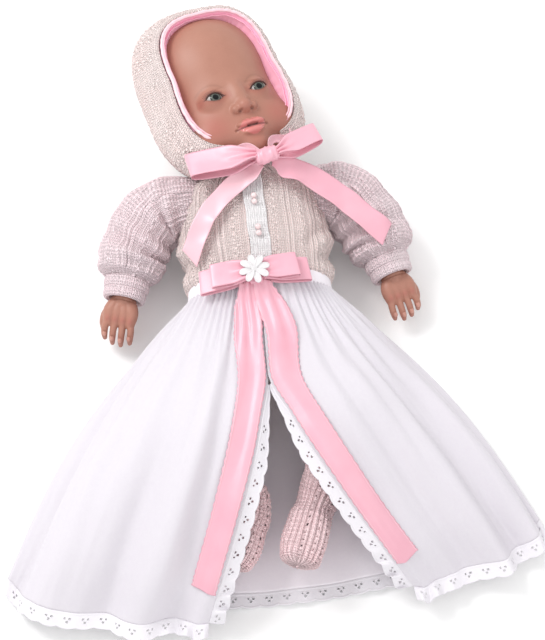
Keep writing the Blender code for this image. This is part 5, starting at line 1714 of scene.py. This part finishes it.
def make_pompom(side):
    """A ball of many fine strands."""
    low, high = (np.array(c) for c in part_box(f"bootie_pompom_{side}"))
    centre = (low + high) / 2 - ORIGIN
    verts, faces = [], []
    count = 620
    for k in range(count):
        z = 1 - 2 * (k + 0.5) / count
        turn = k * 2.399963
        way = np.array((math.sqrt(1 - z * z) * math.cos(turn), math.sqrt(1 - z * z) * math.sin(turn), z))
        long = 0.0058 * (0.90 + 0.16 * math.sin(k * 7.13))
        sag = np.array((math.sin(k * 3.7), math.cos(k * 5.1), math.sin(k * 1.9))) * 0.0007
        middle = centre + way * long * 0.6 + sag * 0.5
        ends = np.array([centre + way * 0.0016, middle, centre + way * long + sag])
        ring = tube_points(ends, (0.00030, 0.00030, 0.00016), 3).reshape(-1, 3)
        base = len(verts)
        verts.extend(ring)
        for i in range(2):
            for j in range(3):
                m = (j + 1) % 3
                faces.append((base + i * 3 + j, base + i * 3 + m, base + i * 3 + 3 + m, base + i * 3 + 3 + j))
        faces += [(base + 2, base + 1, base), (base + 6, base + 7, base + 8)]
    ball = add_mesh(f"pompom_strands_{side}", np.array(verts), faces, POMPOM)
    turn_outward(ball)
    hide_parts(f"bootie_pompom_{side}")
    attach(ball, f"lower_leg_{side}")


BOOT_KNIT = knit_material("bootie_yarn", (1.0, 0.76, 0.78), (0.88, 0.44, 0.48), 0.0024, 0.0020, 0.0010)


# ---- the table, the light and the camera ----


def make_stage():
    n = Nodes("pale_floor", (0.97, 0.97, 0.97), 0.9, Specular_IOR_Level=0.1)
    bm = bmesh.new()
    bmesh.ops.create_grid(bm, x_segments=2, y_segments=2, size=4.0)
    mesh = bpy.data.meshes.new("floor")
    bm.to_mesh(mesh)
    bm.free()
    mesh.materials.append(n.material)
    floor = bpy.data.objects.new("floor", mesh)
    floor.location.z = -0.0004
    bpy.context.collection.objects.link(floor)
    world = bpy.context.scene.world or bpy.data.worlds.new("studio")
    bpy.context.scene.world = world
    world.use_nodes = True
    background = world.node_tree.nodes["Background"]
    background.inputs["Color"].default_value = (1.0, 1.0, 1.0, 1.0)
    background.inputs["Strength"].default_value = 0.92
    target = Vector((0.0, 0.0, 0.04))
    for name, place, size, power in (
        ("key", (-0.75, 0.62, 1.25), 0.60, 12.0),
        ("fill", (1.10, -0.60, 1.20), 1.2, 2.4),
        ("front", (0.10, -1.20, 1.00), 1.0, 1.8),
    ):
        light = bpy.data.lights.new(name, "AREA")
        light.size = size
        light.energy = power
        lamp = bpy.data.objects.new(name, light)
        bpy.context.collection.objects.link(lamp)
        lamp.location = place
        lamp.rotation_euler = (target - Vector(place)).to_track_quat("-Z", "Y").to_euler()


def make_camera():
    bpy.context.scene.view_settings.view_transform = "Standard"
    azimuth, elevation = math.radians(-5.5), math.radians(68)
    aim = Vector((0.014, -0.014, 0.045))
    back = Vector((math.sin(azimuth) * math.cos(elevation), -math.cos(azimuth) * math.cos(elevation),
                   math.sin(elevation)))
    data = bpy.data.cameras.new("camera")
    data.lens = 85
    data.sensor_width = 36
    camera = bpy.data.objects.new("camera", data)
    bpy.context.collection.objects.link(camera)
    camera.location = aim + back * 1.21
    camera.rotation_euler = (-back).to_track_quat("-Z", "Y").to_euler()
    bpy.context.scene.camera = camera


def main():
    make_camera()
    make_stage()
    make_head()
    make_neck()
    make_bonnet()
    make_chin_bow()
    make_bodice()
    make_placket()
    make_waistband()
    make_waist_bow()
    make_flower()
    make_skirt_back()
    make_stuffed_body()
    for side in SIDES:
        make_eye(side)
        make_lashes(side)
        make_sleeve(side)
        add_forearm(side)
        make_leg(side)
        make_skirt_front(side)
        make_trims(side)
        make_waist_tail(side)


main()
